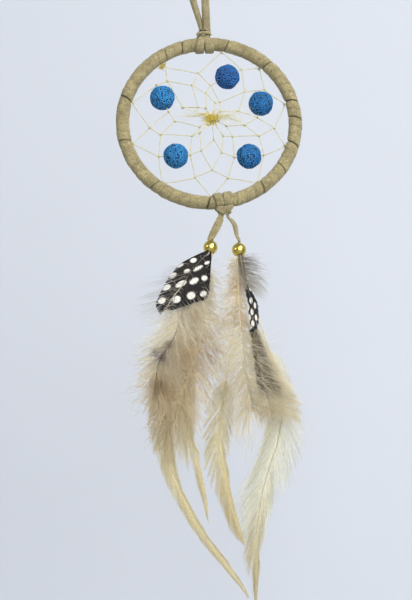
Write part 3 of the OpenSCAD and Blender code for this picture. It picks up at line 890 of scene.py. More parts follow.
def add_lava_bead(number, tone):
    node = "lava_bead_%d" % number
    rng = np.random.default_rng(100 + number)
    pores = unit(rng.normal(size=(LAVA_PORES, 3)))
    sizes = rng.uniform(0.11, 0.27, len(pores)) * (1 + 0.5 * (rng.uniform(size=len(pores)) > 0.92)) * MM

    def shape(verts):
        radius = np.linalg.norm(verts, axis=-1, keepdims=True)
        heading = verts / radius
        on_skin = radius[..., 0] > LAVA_R * 0.985
        dent = np.zeros(verts.shape[:2])
        rim = np.zeros(verts.shape[:2])
        for centre, size in zip(pores, sizes):
            away = np.linalg.norm(heading - centre, axis=-1) * LAVA_R / size
            hole = np.sqrt(np.clip(1 - away**2, 0, 1)) * size * 0.62
            dent = np.maximum(dent, hole)
            rim = np.maximum(rim, np.exp(-((away - 1.15) / 0.2) ** 2))
        x, y, z = np.moveaxis(heading, -1, 0)
        lumps = wave(x * 6 + z * 5, number) + wave(y * 7 - x * 4, number + 9)
        push = np.where(on_skin, -dent + 0.02 * MM * rim - 0.04 * MM + 0.09 * MM * lumps, 0)
        # Painted shade: the pores are painted darker the deeper they are and the bore near black; painted highlight:
        # the rims round the pores are painted lighter.
        depth = np.clip(dent / (0.145 * MM), 0, 1)
        shade = np.where(on_skin, (1 - 0.95 * depth) * (1 + 0.35 * rim * (1 - depth)), 0.15)
        light = 0.8 * np.asarray(tone)[None, None] * shade[..., None]
        # A light blue painted highlight on the rims of the pores.
        light = light + np.array(colour(120, 192, 232)) * (0.27 * rim * (1 - depth) * on_skin)[..., None]
        return verts + heading * push[..., None], light

    bead = lathe(
        "lava_ball_%d" % number, centre_of(node), joint_axis(node + "_spin"),
        bead_profile(LAVA_R, LAVA_BORE, 0.1 * MM, 124), 196, shape,
    )
    dress(bead, LAVA, "lava", "lava_%d" % number, node)


add_hanger_knot()
add_wire_ring()
add_wrap()
add_wrap_nap()
add_hanger_hitch()
add_pendant_hitch()
add_pendant_laces()
add_gold_bead("left", LEFT_BEAD)
add_gold_bead("right", RIGHT_BEAD)
DARK_BLUE = colour(8, 74, 150)
MID_BLUE = colour(14, 98, 162)
BRIGHT_BLUE = colour(30, 118, 180)
for number, tone in enumerate((DARK_BLUE, BRIGHT_BLUE, MID_BLUE, BRIGHT_BLUE, MID_BLUE), 1):
    add_lava_bead(number, tone)


# ---------------------------------------------------------------- the web

THREAD_R = 0.17 * MM
FRAY_PLIES = 34
WEB_EDGE = HOOP_R - TUBE_R + 0.25 * MM
ROW_1 = [
    (-3.5, 17.5), (10.5, 19), (18, 12), (21, -1.5), (17.5, -11),
    (6, -19), (-4.5, -19), (-16, -12), (-19, -2), (-13.5, 14.5),
]
ROW_2 = [
    (0.5, 13), (11.5, 11), (15.5, 2), (16, -4.5), (8, -12),
    (1, -16.5), (-6, -11.5), (-15.5, -4.5), (-13, 3.5), (-5.5, 13),
]
ROW_3 = [
    (3.5, 7), (9.5, 4), (11.5, -1), (7.5, -5), (4, -10.5),
    (-2.5, -10), (-5.5, -5), (-11, 0), (-3.5, 5), (-1, 10),
]
ROW_4 = [
    (3.5, 3.5), (5.5, 2), (5.5, -1.5), (4.5, -5), (1.5, -6.5),
    (-3, -4), (-3, -2), (-3, 2.5), (-1, 4.5), (2, 6.5),
]
SIDE_LOOP, SIDE_KNOT, WEB_CENTRE = (-17, 13), (-8.5, 5), (0.8, 0.8)
TURNS = np.radians([124, 121])
START_ANGLE, START_R = math.radians(127.5), 24.9 * MM


def row_y(row):
    """Each row of loops lies a thread's width in front of the one before."""
    return (0.84 - 0.42 * row) * MM


def web_at(p, row):
    return RING + np.array([p[0] * MM, row_y(row), p[1] * MM])


def on_hoop(angle, r, row=0):
    return RING + np.array([r * math.cos(angle), row_y(row), r * math.sin(angle)])


def to_centre(p):
    return unit(np.array([WEB_CENTRE[0] - p[0], 0, WEB_CENTRE[1] - p[1]]))


def lay_thread(parts, path, seed, radius=THREAD_R, tone=(206, 198, 150), step=0.16 * MM):
    """Two plies twisted together along a path."""
    count = max(4, int(path_length(path) / step))
    path = resample(path, count)
    side, up = section_frames(path, Y_AXIS + 1e-3)
    turn = np.arange(count) * 0.62 + seed
    shade = colour(*tone) * (1 + 0.09 * wave(np.arange(count) * 0.3, seed))[:, None]
    for ply in (0, math.pi):
        offset = side * np.cos(turn + ply)[:, None] + up * np.sin(turn + ply)[:, None]
        sweep(parts, path + offset * radius * 0.42, circle(radius * 0.58, 5), Y_AXIS + 1e-3, shade)


def sagged(a, b, seed):
    """A stretch of thread, not quite straight."""
    t = np.linspace(0, 1, 10)[:, None]
    rng = np.random.default_rng(seed)
    off = rng.normal(size=3) * np.array([1, 0.25, 1]) * 0.012 * np.linalg.norm(b - a)
    return a * (1 - t) + b * t + off * np.sin(math.pi * t)


def add_knot(parts, at, inward, seed):
    """A half hitch: a small tight loop of thread round the stretch it hangs from."""
    a = np.linspace(0, 2.6 * math.pi, 26)[:, None]
    r = 0.30 * MM
    along = unit(np.cross(inward, Y_AXIS)) * (a / a.max() - 0.5) * 0.55 * MM
    loop = at + unit(inward) * np.cos(a) * r + Y_AXIS * np.sin(a) * r + along
    lay_thread(parts, loop, seed, radius=THREAD_R * 0.9, tone=(206, 194, 130), step=0.08 * MM)


def loop_round_hoop(angle):
    """The thread's turn round the outside of the wrapped hoop at an anchor, down in the pinched seam."""
    k = seam_at(angle)
    v = np.linspace(math.pi * 0.94, -math.pi * 0.94, 60)
    a = HELIX_START + (k - 0.5 - (v - math.pi) / (2 * math.pi)) * HELIX_STEP
    r, _ = wrap_shape(a, v)
    return tube_point(a, v, r + THREAD_R * 0.35)


def add_web():
    parts = Parts()
    seed = 0

    def run(points):
        nonlocal seed
        for a, b in zip(points[:-1], points[1:]):
            seed += 1
            lay_thread(parts, sagged(a, b, seed), seed)

    def go_round(row, start, knots, loops, count, last):
        pairs = [p for pair in zip(knots[:count], loops[:count]) for p in pair]
        run([web_at(p, row) for p in (*start, *pairs, last)])

    outer = [on_hoop(START_ANGLE, START_R)]
    for spot, angle in zip(ROW_1, ANCHOR_ANGLES):
        outer += [web_at(spot, 0), on_hoop(angle, WEB_EDGE)]
    outer += [web_at(SIDE_LOOP, 0), web_at(ROW_1[9], 0)]
    run(outer + [on_hoop(a, WEB_EDGE, row) for row, a in enumerate(TURNS)])
    go_round(1, (ROW_1[9], ROW_2[9]), ROW_1, ROW_2, 9, SIDE_LOOP)
    go_round(2, (ROW_1[9], SIDE_KNOT, ROW_3[8], ROW_2[9], ROW_3[9]), ROW_2, ROW_3, 8, ROW_2[8])
    go_round(3, (SIDE_KNOT, ROW_3[8], ROW_4[8], ROW_3[9], ROW_4[9]), ROW_3, ROW_4, 7, ROW_3[7])
    middle = web_at(WEB_CENTRE, 4)
    for p in ROW_4:
        run([web_at(p, 4), middle + unit(web_at(p, 4) - middle) * 0.8 * MM])
    for r, row in enumerate((ROW_1, ROW_2, ROW_3, ROW_4)):
        for i, p in enumerate(row):
            add_knot(parts, web_at(p, r + 0.5), to_centre(p), 700 + 20 * r + i)
    for p in (SIDE_LOOP, SIDE_KNOT):
        add_knot(parts, web_at(p, 1), to_centre(p), 790)
    for i, angle in enumerate(ANCHOR_ANGLES):
        # Painted shade: the turns round the hoop, down in the seams, are painted darker than the web's thread.
        lay_thread(parts, loop_round_hoop(angle), 800 + i, tone=(156, 140, 94))
        inward = np.array([-math.cos(angle), 0, -math.sin(angle)])
        add_knot(parts, on_hoop(angle, HOOP_R - TUBE_R - 0.1 * MM), inward, 820 + i)
    dress(parts.build("woven_thread"), THREAD, "thread", "hoop", "web_thread")


def tangle(name, node, reach, count, seed, tone, radius):
    """A knot of thread: many short arcs wound about one place, with loose ends."""
    rng = np.random.default_rng(seed)
    at = centre_of(node)
    parts = Parts()
    reach = np.asarray(reach) * MM
    for _ in range(count):
        a = np.linspace(0, rng.uniform(1.1, 2.4) * math.pi, 22)[:, None]
        u, v = unit(rng.normal(size=3)), unit(rng.normal(size=3))
        core = (np.cos(a + rng.uniform(0, 6)) * u + np.sin(a) * v) * rng.uniform(0.45, 0.95)
        path = at + core * reach + rng.normal(size=3) * reach * 0.16
        shade = colour(*tone) * rng.uniform(0.72, 1.15)
        sweep(parts, path, circle(radius * MM * rng.uniform(0.7, 1.2), 6), unit(rng.normal(size=3)), shade)
    root = at + rng.normal(size=(count, 3)) * reach * 0.35
    heading = unit(rng.normal(size=(count, 3)) * np.array([1.3, 0.5, 0.8]))
    shade = colour(*tone) * rng.uniform(0.85, 1.25, (count, 1, 1)) * np.ones((count, 5, 1))
    lengths = rng.uniform(0.7, 1.3, count) * reach[0]
    fibres(parts, root, heading, lengths, 0.045 * MM, 4, 0.6, seed + 1, shade)
    dress(parts.build(name), THREAD, "thread", "hoop", node)


def fray(name, node, way, seed):
    """The loosened plies of the thread's end, combed out sideways in front of the web."""
    rng = np.random.default_rng(seed)
    low, high = box_of(node)
    reach = high[0] - low[0]
    y = (low[1] + high[1]) / 2
    start = np.array([high[0] if way < 0 else low[0], y, (low[2] + high[2]) / 2])
    n, k = FRAY_PLIES, 14
    u = np.linspace(0, 1, k)[None, :]
    length = rng.uniform(0.35, 1.0, (n, 1)) ** 0.8 * reach * 1.02
    fan = rng.normal(size=(n, 1)) * 0.16
    x = way * length * u
    z = length * (fan * u**0.8) + 1.1 * MM * rng.normal(size=(n, 1)) * (0.25 + 0.4 * u)
    z = z + 0.16 * MM * np.sin(u * rng.uniform(3, 8, (n, 1)) + rng.uniform(0, 6, (n, 1))) * u
    dy = 0.25 * MM * rng.normal(size=(n, 1)) * u + 0.12 * MM * np.sin(u * 6 + rng.uniform(0, 6, (n, 1)))
    lines = start + np.stack([x, dy, z], -1)
    wide = rng.uniform(0.03, 0.075, (n, 1)) * MM * (1 - 0.5 * u)
    shade = colour(230, 226, 196) * rng.uniform(0.85, 1.1, (n, 1, 1)) * np.ones((n, k, 1))
    gold = colour(214, 196, 96) * np.ones((n, k, 1))
    near = np.exp(-((np.abs(x) / (1.8 * MM)) ** 2))[..., None]
    parts = Parts()
    add_ribbons(parts, lines, wide, wide * 0.7, shade * (1 - near) + gold * near)
    dress(parts.build(name), THREAD, "thread", "hoop", node)


add_web()
tangle("centre_tangle", "web_centre_knot", (2.7, 1.3, 1.9), 46, 901, (216, 192, 66), 0.09)
tangle("start_tangle", "web_start_knot", (1.05, 0.9, 1.05), 20, 905, (206, 184, 74), 0.08)
fray("left_fray", "fringe_left", -1, 911)
fray("right_fray", "fringe_right", 1, 912)


# ---------------------------------------------------------------- feathers

def profile(values, at):
    """Values spread evenly over 0 to 1, read at the given fractions."""
    return np.interp(at, np.linspace(0, 1, len(values)), values)


def clumped(lines, size, pull, rng):
    """Draws neighbouring barbs together towards their tips, which opens splits between the groups."""
    n, k = lines.shape[:2]
    ends = np.cumsum(rng.uniform(0.4, 1.6, int(n / size) + 4) * size)
    group = np.searchsorted(ends, np.arange(n))
    count = np.bincount(group, minlength=group.max() + 1)[:, None, None]
    mean = np.zeros((group.max() + 1, k, 3))
    np.add.at(mean, group, lines)
    mean = (mean / np.maximum(count, 1))[group]
    w = pull * np.linspace(0, 1, k)[None, :, None] ** 1.6
    return lines * (1 - w) + mean * w


def raised(tone):
    """A barb colour lightened for the light that is lost between barbs."""
    return np.minimum(colour(*tone) ** 0.75 * np.array([1.23, 1.23, 1.14]), 0.97)


DOWN_FRONT = 6 * MM
DOWN_BACK = 7.5 * MM


class Feather:
    """A stem with barbs. Points are in millimetres from the middle of the bead that holds the quill."""

    def __init__(self, name, node, stem, seed, quill, tones):
        self.name, self.node = name, node
        self.side = node.split("_")[0]
        self.bead = LEFT_BEAD if self.side == "left" else RIGHT_BEAD
        self.rng = np.random.default_rng(seed)
        self.parts = Parts()
        self.path = smooth_path(self.bead + np.array(stem) * MM, 260)
        self.tangent = tangents(self.path)
        self.front = unit(-Y_AXIS - self.tangent * (-self.tangent[:, 1:2]))
        self.across = np.cross(self.front, self.tangent)
        thick = np.linspace(quill[0], quill[1], len(self.path)) * MM
        tone = blend_tones(*tones)(np.linspace(0, 1, len(self.path)), None, None)
        tone = tone * (1 + 0.1 * wave(np.arange(len(self.path)) * 0.2, seed))[:, None]
        sweep(self.parts, self.path, circle(1, 8), -Y_AXIS, tone, scale=thick)

    def on_stem(self, s, rows):
        x = np.clip(s, 0, 1) * (len(rows) - 1)
        return np.stack([np.interp(x, np.arange(len(rows)), rows[:, k]) for k in range(3)], 1)

    def barbs(self, way, span, count, length, angle, paint, width, bend, stray, joints, ragged, cup=0.0,
              curl=0.0, scatter=0.0, clump=0, pull=0.5, sag=0.0, thick=0.6):
        """Barbs on one side of the stem; way is 1 for the right of a hanging feather and -1 for the left."""
        rng = self.rng
        s = np.linspace(span[0], span[1], count)
        s = np.sort(s + rng.normal(size=count) * 0.3 * (span[1] - span[0]) / count)
        f = np.clip((s - span[0]) / (span[1] - span[0]), 0, 1)
        root, t = self.on_stem(s, self.path), self.on_stem(s, self.tangent)
        across, front = self.on_stem(s, self.across) * way, self.on_stem(s, self.front)
        size = profile(length, f) * MM * (1 + ragged * rng.normal(size=count).clip(-2, 2))
        u = np.linspace(0, 1, joints)[None, :]
        swing = rng.normal(size=(count, 1)) * stray
        theta = profile(angle, f)[:, None] + swing - bend * u
        lift = rng.normal(size=(count, 1)) * scatter + cup * u
        for k in (1.0, 1.9, 3.1):
            theta = theta + curl / k * np.sin(2 * math.pi * (k * u + rng.uniform(size=(count, 1)))) * u
            lift = lift + curl / k * np.sin(2 * math.pi * (k * u + rng.uniform(size=(count, 1)))) * u
        theta, lift = np.radians(theta)[..., None], np.radians(lift)[..., None]
        heading = np.cos(theta) * t[:, None] + np.sin(theta) * across[:, None]
        heading = np.cos(lift) * heading + np.sin(lift) * front[:, None]
        heading = unit(heading + np.array([0, 0, -sag]) * u[..., None])
        step = heading[:, 1:] * (size / (joints - 1))[:, None, None]
        step = np.concatenate([np.zeros((count, 1, 3)), np.cumsum(step, axis=1)], axis=1)
        lines = root[:, None] + step
        if clump:
            lines = clumped(lines, clump, pull, rng)
        off = lines[..., 1] - root[:, None, 1]
        room = np.where(off < 0, DOWN_FRONT, DOWN_BACK - root[:, None, 1])
        lines[..., 1] = root[:, None, 1] + room * np.tanh(off / room)
        wide = width * MM * (1 - 0.55 * u) * np.ones((count, 1)) * rng.uniform(0.75, 1.25, (count, 1))
        shade = 1 + 0.1 * rng.normal(size=(count, 1, 1)).clip(-2, 2)
        tone = paint(f[:, None] * np.ones_like(u), u * np.ones((count, 1)), (lines - self.bead) / MM) * shade
        normals = np.broadcast_to(front[:, None], lines.shape)
        add_ribbons(self.parts, lines, wide, wide * thick, tone, normals)
        return lines, tone

    def vane(self, way, span, count, tips, paint, bow=0.1):
        """Stiff barbs on one side, whose ends follow an outline given in millimetres from the bead."""
        rng = self.rng
        joints = 22
        s, f = np.linspace(span[0], span[1], count), np.linspace(0, 1, count)
        root = self.on_stem(s, self.path)
        edge = smooth_path(self.bead + np.array(tips) * MM, 200)
        reach = (self.on_stem(f, edge) - root) * (1 + 0.03 * rng.normal(size=(count, 1)).clip(-2, 2))
        size = np.linalg.norm(reach, axis=1, keepdims=True)
        corner = root + reach * 0.45 + self.on_stem(s, self.across) * way * size * bow
        u = np.linspace(0, 1, joints)[None, :, None]
        lines = (1 - u) ** 2 * root[:, None] + 2 * u * (1 - u) * corner[:, None]
        lines = clumped(lines + u**2 * (root + reach)[:, None], 20, 0.3, rng)
        u = u[..., 0]
        wide = 0.1 * MM * (1 - 0.5 * u) * rng.uniform(0.8, 1.2, (count, 1))
        shade = 1 + 0.08 * rng.normal(size=(count, 1, 1)).clip(-2, 2)
        tone = paint(f[:, None] * np.ones_like(u), u * np.ones((count, 1)), (lines - self.bead) / MM) * shade
        normals = np.broadcast_to(self.on_stem(s, self.front)[:, None], lines.shape)
        add_ribbons(self.parts, lines, wide, wide * 0.25, tone, normals)

    def barbules(self, lines, tone, each, length, radius):
        """Fine side hairs on the barbs, which make them fluffy."""
        rng = self.rng
        n, k = lines.shape[:2]
        pick = np.repeat(np.arange(n), each)
        u = rng.uniform(0.08, 0.98, len(pick)) * (k - 1)
        low = np.minimum(u.astype(int), k - 2)
        part = (u - low)[:, None]
        root = lines[pick, low] * (1 - part) + lines[pick, low + 1] * part
        along = unit(lines[pick, low + 1] - lines[pick, low])
        out = rng.normal(size=(len(pick), 3))
        out = unit(out - along * (out * along).sum(1, keepdims=True))
        a = np.radians(50 + 12 * rng.normal(size=(len(pick), 1)))
        heading = along * np.cos(a) + out * np.sin(a)
        size = length * MM * rng.uniform(0.5, 1.3, (len(pick), 1)) * (1.15 - u / (k - 1))[:, None]
        strands = np.stack([root, root + heading * size], 1)
        shade = tone[pick, low][:, None] * np.ones((1, 2, 1)) * rng.uniform(0.92, 1.12, (len(pick), 1, 1))
        r = np.full((len(pick), 2), 1.45 * radius * MM)
        add_ribbons(self.parts, strands, r, r, shade, np.broadcast_to(out[:, None], strands.shape) + 1e-3)

    def build(self, material, slot):
        dress(self.parts.build(self.name), material, slot, self.side + "_bunch", self.node)


def blend_tones(*tones):
    """A paint that fades through the tones from the top of the barbs' span to its end."""
    rows = np.array([raised(c) for c in tones])

    def paint(f, u, at):
        return np.stack([profile(rows[:, k], f) for k in range(3)], -1)

    return paint


def stained(paint, stains):
    """Adds soft patches to a paint: (x, z, radius, tone, strength) in millimetres from the bead."""

    def stain(f, u, at):
        tone = paint(f, u, at)
        for x, z, reach, shade, strength in stains:
            near = np.exp(-((at[..., 0] - x) ** 2 + (at[..., 2] - z) ** 2) / reach**2)[..., None] * strength
            tone = tone * (1 - near) + raised(shade) * near
        return tone

    return stain


def spotted_paint(dark, spots, lean):
    """Black vane with white oval spots: (x, z, half length, half width), lying along the lean direction."""
    white, ground = raised((206, 200, 196)), colour(*dark)
    c, s = math.cos(math.radians(lean)), math.sin(math.radians(lean))

    def paint(f, u, at):
        cover = np.zeros(f.shape)
        for x, z, long, short in spots:
            dx, dz = at[..., 0] - x, at[..., 2] - z
            away = np.sqrt(((dx * c + dz * s) / long) ** 2 + ((dz * c - dx * s) / short) ** 2)
            cover = np.maximum(cover, 1 - ramp(away, 0.88, 1.12))
        return ground * (1 - cover)[..., None] + white * cover[..., None]

    return paint


def left_spotted():
    spots = [
        (-5.4, -5.4, 1.05, 0.8), (-1.1, -6.0, 0.95, 0.5), (-4.0, -8.1, 1.8, 0.5), (-9.5, -7.4, 1.15, 0.5),
        (-7.4, -9.2, 1.0, 0.65), (-11.8, -10.8, 1.3, 0.75), (-9.2, -13.4, 1.9, 0.8), (-5.2, -12.4, 1.55, 0.85),
        (-2.0, -11.4, 0.95, 0.85), (-13.6, -14.7, 1.35, 0.8), (-10.5, -18.4, 1.3, 1.1), (-6.1, -17.2, 1.35, 1.15),
        (-2.3, -16.6, 1.1, 0.85), (-15.0, -18.9, 1.2, 0.9),
    ]
    paint = spotted_paint((26, 22, 20), spots, 32)
    f = Feather(
        "left_guinea_feather", "left_spotted_feather",
        [(0, -0.75, -0.2), (-0.6, -0.95, -2.4), (-2.0, -2.2, -3.9), (-4.3, -3.4, -6.9), (-6.8, -3.9, -10.5),
         (-9.2, -4, -14.4), (-11.8, -3.9, -17.9), (-14.2, -3.8, -22.2)],
        501, quill=(0.27, 0.07),
        tones=((206, 192, 176), (60, 50, 44), (40, 34, 30), (44, 38, 34), (150, 138, 126), (206, 196, 186),
               (120, 108, 96)),
    )
    f.vane(1, (0.02, 0.97), 460, [(-0.2, -3.9, -7), (-0.3, -4.3, -12), (-1.2, -4.5, -17.8), (-4.6, -4.5, -19.4),
                                  (-8.5, -4.5, -20.9), (-12.6, -4.3, -22.2)], paint)
    f.vane(-1, (0.03, 0.97), 460, [(-6.4, -3.6, -4.9), (-9.6, -4.1, -7.1), (-12.5, -4.4, -10.8),
                                   (-14.8, -4.5, -15), (-16.8, -4.5, -20.4), (-15.4, -4.2, -23.4)], paint, bow=0.06)
    grey = blend_tones((60, 52, 46), (120, 112, 104), (160, 152, 144))
    f.barbs(-1, (0.3, 0.97), 110, [10, 13, 12, 8], [36, 34, 30, 26], grey, width=0.022, bend=-8, stray=6,
            scatter=8, joints=9, ragged=0.14)
    f.barbs(1, (0.5, 0.97), 50, [11.5, 10, 7], [32, 28, 22], grey, width=0.022, bend=-4, stray=5,
            scatter=8, joints=9, ragged=0.14)
    f.build(SPOTTED, "spotted_feather")


def right_spotted():
    spots = [
        (2.0, -11.2, 0.8, 0.35), (3.2, -13.2, 1.15, 0.42), (3.4, -17.4, 1.0, 0.45), (2.45, -19.5, 1.1, 0.42),
        (4.6, -19.0, 1.0, 0.35), (3.7, -21.1, 1.0, 0.48), (2.9, -22.8, 0.95, 0.4), (4.9, -22.9, 1.0, 0.35),
        (3.9, -24.7, 1.0, 0.48), (3.1, -25.9, 0.75, 0.4),
    ]
    paint = spotted_paint((24, 21, 20), spots, 93)
    f = Feather(
        "right_guinea_feather", "right_spotted_feather",
        [(0, -0.75, -0.2), (0.35, -0.95, -2.6), (0.8, -1.9, -6), (1.4, -2.5, -10), (2.2, -2.8, -13.0),
         (3.3, -2.9, -16.6), (3.9, -2.9, -20.4), (4.1, -2.9, -23.6), (3.6, -2.9, -26.4)],
        511, quill=(0.22, 0.04), tones=((120, 104, 88), (96, 84, 72), (60, 52, 46), (40, 34, 30), (60, 54, 48)),
    )
    for way in (1, -1):
        f.barbs(way, (0.42, 0.99), 230, [1.6, 2.6, 3.9, 4.2, 4, 3.2, 2], [30, 30, 28, 26, 24, 20, 12], paint,
                width=0.08, bend=8, cup=-4, stray=0.6, clump=16, pull=0.3, joints=14, ragged=0.04, thick=0.3)
    grey = blend_tones((104, 94, 78), (136, 126, 108), (160, 152, 136))
    grey = stained(grey, [(1.6, -6, 2.2, (96, 82, 66), 0.6)])
    for way, reach in ((1, [5.5, 8, 8, 6]), (-1, [0.8, 1, 1.2, 1.6])):
        lines, tone = f.barbs(way, (0.08, 0.5), 260, reach, [84, 76, 62, 44], grey, width=0.03, bend=16, curl=22,
                              scatter=18, stray=12, clump=6, pull=0.35, joints=10, sag=0.22, ragged=0.3)
        f.barbules(lines, tone, 16, 0.55, 0.012)
    f.build(SPOTTED, "spotted_feather")


def hackle(f, span, count, right, left, angles, paint, **shape):
    """A stiff feather: fine barbs on both sides that lie close to the stem."""
    for way, reach in ((1, right), (-1, left)):
        f.barbs(way, span, count, reach, angles, paint, thick=0.4, **shape)


def plume(f, paint, right, left, angles, fluff, fluff_reach, span=(0.12, 0.98)):
    """A soft feather: loosely grouped barbs on both sides, and finer curled down among them."""
    for way, reach in ((1, right), (-1, left)):
        lines, tone = f.barbs(way, span, 400, reach, angles, paint, width=0.055, bend=20, curl=26, scatter=16,
                              stray=15, clump=6, pull=0.4, joints=10, sag=0.2, ragged=0.25)
        f.barbules(lines, tone, 7, 0.9, 0.02)
        inner = [r * 0.65 + fluff_reach * 0.45 for r in reach]
        lines, tone = f.barbs(way, span, fluff, inner, [92, 84, 74, 62], paint, width=0.035, bend=14, curl=34,
                              scatter=26, stray=24, joints=9, sag=0.12, ragged=0.3)
        f.barbules(lines, tone, 7, 1.0, 0.02)


def left_front():
    paint = stained(
        blend_tones((214, 204, 186), (222, 214, 200), (222, 214, 200), (216, 206, 186), (210, 196, 168)),
        [(-6.5, -37, 4.5, (196, 168, 126), 0.7), (-5, -46, 5, (202, 180, 142), 0.6),
         (-15.5, -45.5, 2.6, (150, 118, 78), 0.75), (-12.6, -48, 2.6, (182, 146, 98), 0.6),
         (-14, -37, 3.2, (150, 138, 124), 0.45), (-4.6, -24, 2.6, (188, 166, 126), 0.6),
         (-12.6, -32.6, 1.2, (92, 70, 54), 0.7), (-14.9, -36.6, 1.2, (84, 64, 50), 0.75),
         (-17, -35.2, 1.0, (110, 88, 70), 0.6)],
    )
    f = Feather(
        "left_cream_plume", "left_front_plume",
        [(-0.72, -0.2, -0.2), (-0.9, -0.35, -2.6), (-2.8, -0.9, -7), (-5.6, -1.7, -13.5), (-8.5, -2.4, -20.5),
         (-10, -2.9, -25.9), (-11.2, -3.2, -30.1), (-13.9, -3.2, -34.8), (-16.1, -3, -39.2), (-16.6, -2.6, -44.8),
         (-17.2, -2, -50)],
        521, quill=(0.24, 0.1),
        tones=((200, 186, 160),) * 5 + ((110, 88, 68), (78, 58, 44), (120, 92, 62), (196, 166, 120)),
    )
    plume(f, paint, [4, 9, 13, 16, 17, 15, 11], [4, 7, 9, 10, 9.5, 8, 6], [66, 58, 54, 48, 42, 34, 24], 330, 9)
    f.build(DOWN, "cream_feather")


def left_back():
    paint = stained(
        blend_tones((214, 206, 190), (214, 204, 184), (208, 192, 162), (212, 198, 170), (210, 196, 166)),
        [(1.0, -35.5, 3.4, (158, 122, 66), 0.8), (-2.5, -30, 3, (190, 164, 124), 0.5), (-15, -52, 4, (194, 160, 116), 0.5),
         (1.5, -47, 5, (206, 192, 162), 0.6)],
    )
    f = Feather(
        "left_tan_plume", "left_back_plume",
        [(0.72, -0.2, -0.2), (0.35, -0.1, -2.7), (-0.6, 0, -8), (-1.4, 0, -16), (-2.0, -0.1, -24), (-3.4, -0.1, -32),
         (-6, 0, -40), (-9, 0.1, -48), (-11.8, 0.1, -55), (-13.2, 0.1, -60)],
        531, quill=(0.24, 0.05), tones=((196, 178, 136), (206, 184, 136), (206, 176, 110)),
    )
    plume(f, paint, [3, 6, 10, 14, 16, 16, 13], [3, 6, 10, 13, 13, 11, 8], [62, 58, 58, 54, 46, 36, 26], 320, 8)
    f.build(BROWN, "brown_feather")


def left_short():
    paint = blend_tones((200, 192, 170), (206, 196, 172), (208, 200, 174), (210, 200, 170), (208, 198, 166))
    f = Feather(
        "left_short_hackle_barbs", "left_short_hackle",
        [(-0.45, 0.6, -0.2), (-0.6, 0.75, -2.6), (-2.4, 1.1, -9), (-5, 1.4, -22), (-7.2, 1.4, -38), (-7.8, 1.4, -50),
         (-6.9, 1.4, -58.4), (-5.2, 1.4, -63), (-3.4, 1.4, -69.9), (-1.9, 1.4, -75.9), (-0.8, 1.4, -82.5)],
        541, quill=(0.22, 0.06), tones=((210, 186, 130), (214, 184, 112)),
    )
    hackle(f, (0.3, 0.985), 600, [5, 7, 9, 9, 6, 3.4, 2.6, 2], [5, 7, 9, 11, 11, 9.5, 7.5, 5],
           [40, 34, 28, 22, 17, 14, 12, 9], paint, width=0.045, bend=8, cup=-4, stray=2.5, clump=14, joints=7,
           ragged=0.16)
    f.build(HACKLE, "tan_feather")


def left_long():
    paint = blend_tones((204, 194, 168), (204, 194, 164), (206, 194, 158), (204, 192, 152), (202, 190, 154),
                        (202, 192, 164))
    f = Feather(
        "left_long_hackle_barbs", "left_long_hackle",
        [(0.45, 0.6, -0.2), (0.3, 1, -2.6), (-2.4, 2.2, -9), (-8, 2.5, -23), (-12.4, 2.5, -37), (-14.2, 2.5, -48.3),
         (-14.3, 2.5, -57.6), (-12.7, 2.5, -66.8), (-10.3, 2.5, -74.3), (-6.7, 2.5, -81.7), (-2.2, 2.5, -89.1),
         (3.4, 2.5, -96.4), (8.4, 2.5, -103), (10.6, 2.5, -106.6)],
        551, quill=(0.28, 0.07), tones=((206, 194, 156), (214, 202, 166), (208, 194, 156)),
    )
    hackle(f, (0.25, 0.99), 900, [6, 8, 9, 9, 8, 7, 6.4, 6, 5, 2.6], [6, 9, 10, 9, 8, 7, 6.4, 6, 5, 2.6],
           [38, 32, 28, 24, 20, 18, 17, 16, 14, 9], paint, width=0.05, bend=8, cup=-4, stray=1.8, clump=16,
           joints=7, ragged=0.14)
    f.build(HACKLE, "tan_feather")


def right_cream():
    paint = stained(
        blend_tones((216, 206, 188), (220, 210, 192), (218, 206, 184), (224, 216, 202), (222, 214, 200),
                    (214, 204, 182)),
        [(-1, -12, 2.6, (196, 166, 120), 0.55), (-4, -42, 4.5, (198, 180, 144), 0.6),
         (0.5, -23, 3, (200, 180, 148), 0.5)],
    )
    f = Feather(
        "right_cream_plume_barbs", "right_cream_plume",
        [(-0.72, -0.2, -0.2), (-0.7, -0.4, -2.8), (-0.5, -0.8, -8), (-0.4, -1.2, -14), (0, -1.3, -22), (0.6, -1.3, -30),
         (1.4, -1.3, -38), (2.6, -1.3, -46), (3.8, -1.3, -52)],
        561, quill=(0.22, 0.05), tones=((218, 202, 170), (222, 208, 180)),
    )
    plume(f, paint, [2.4, 2.8, 3.4, 6, 9, 12, 13], [3, 5, 9, 13, 15, 16, 15], [74, 70, 66, 62, 54, 44, 32],
          340, 5, span=(0.05, 0.98))
    f.build(DOWN, "cream_feather")


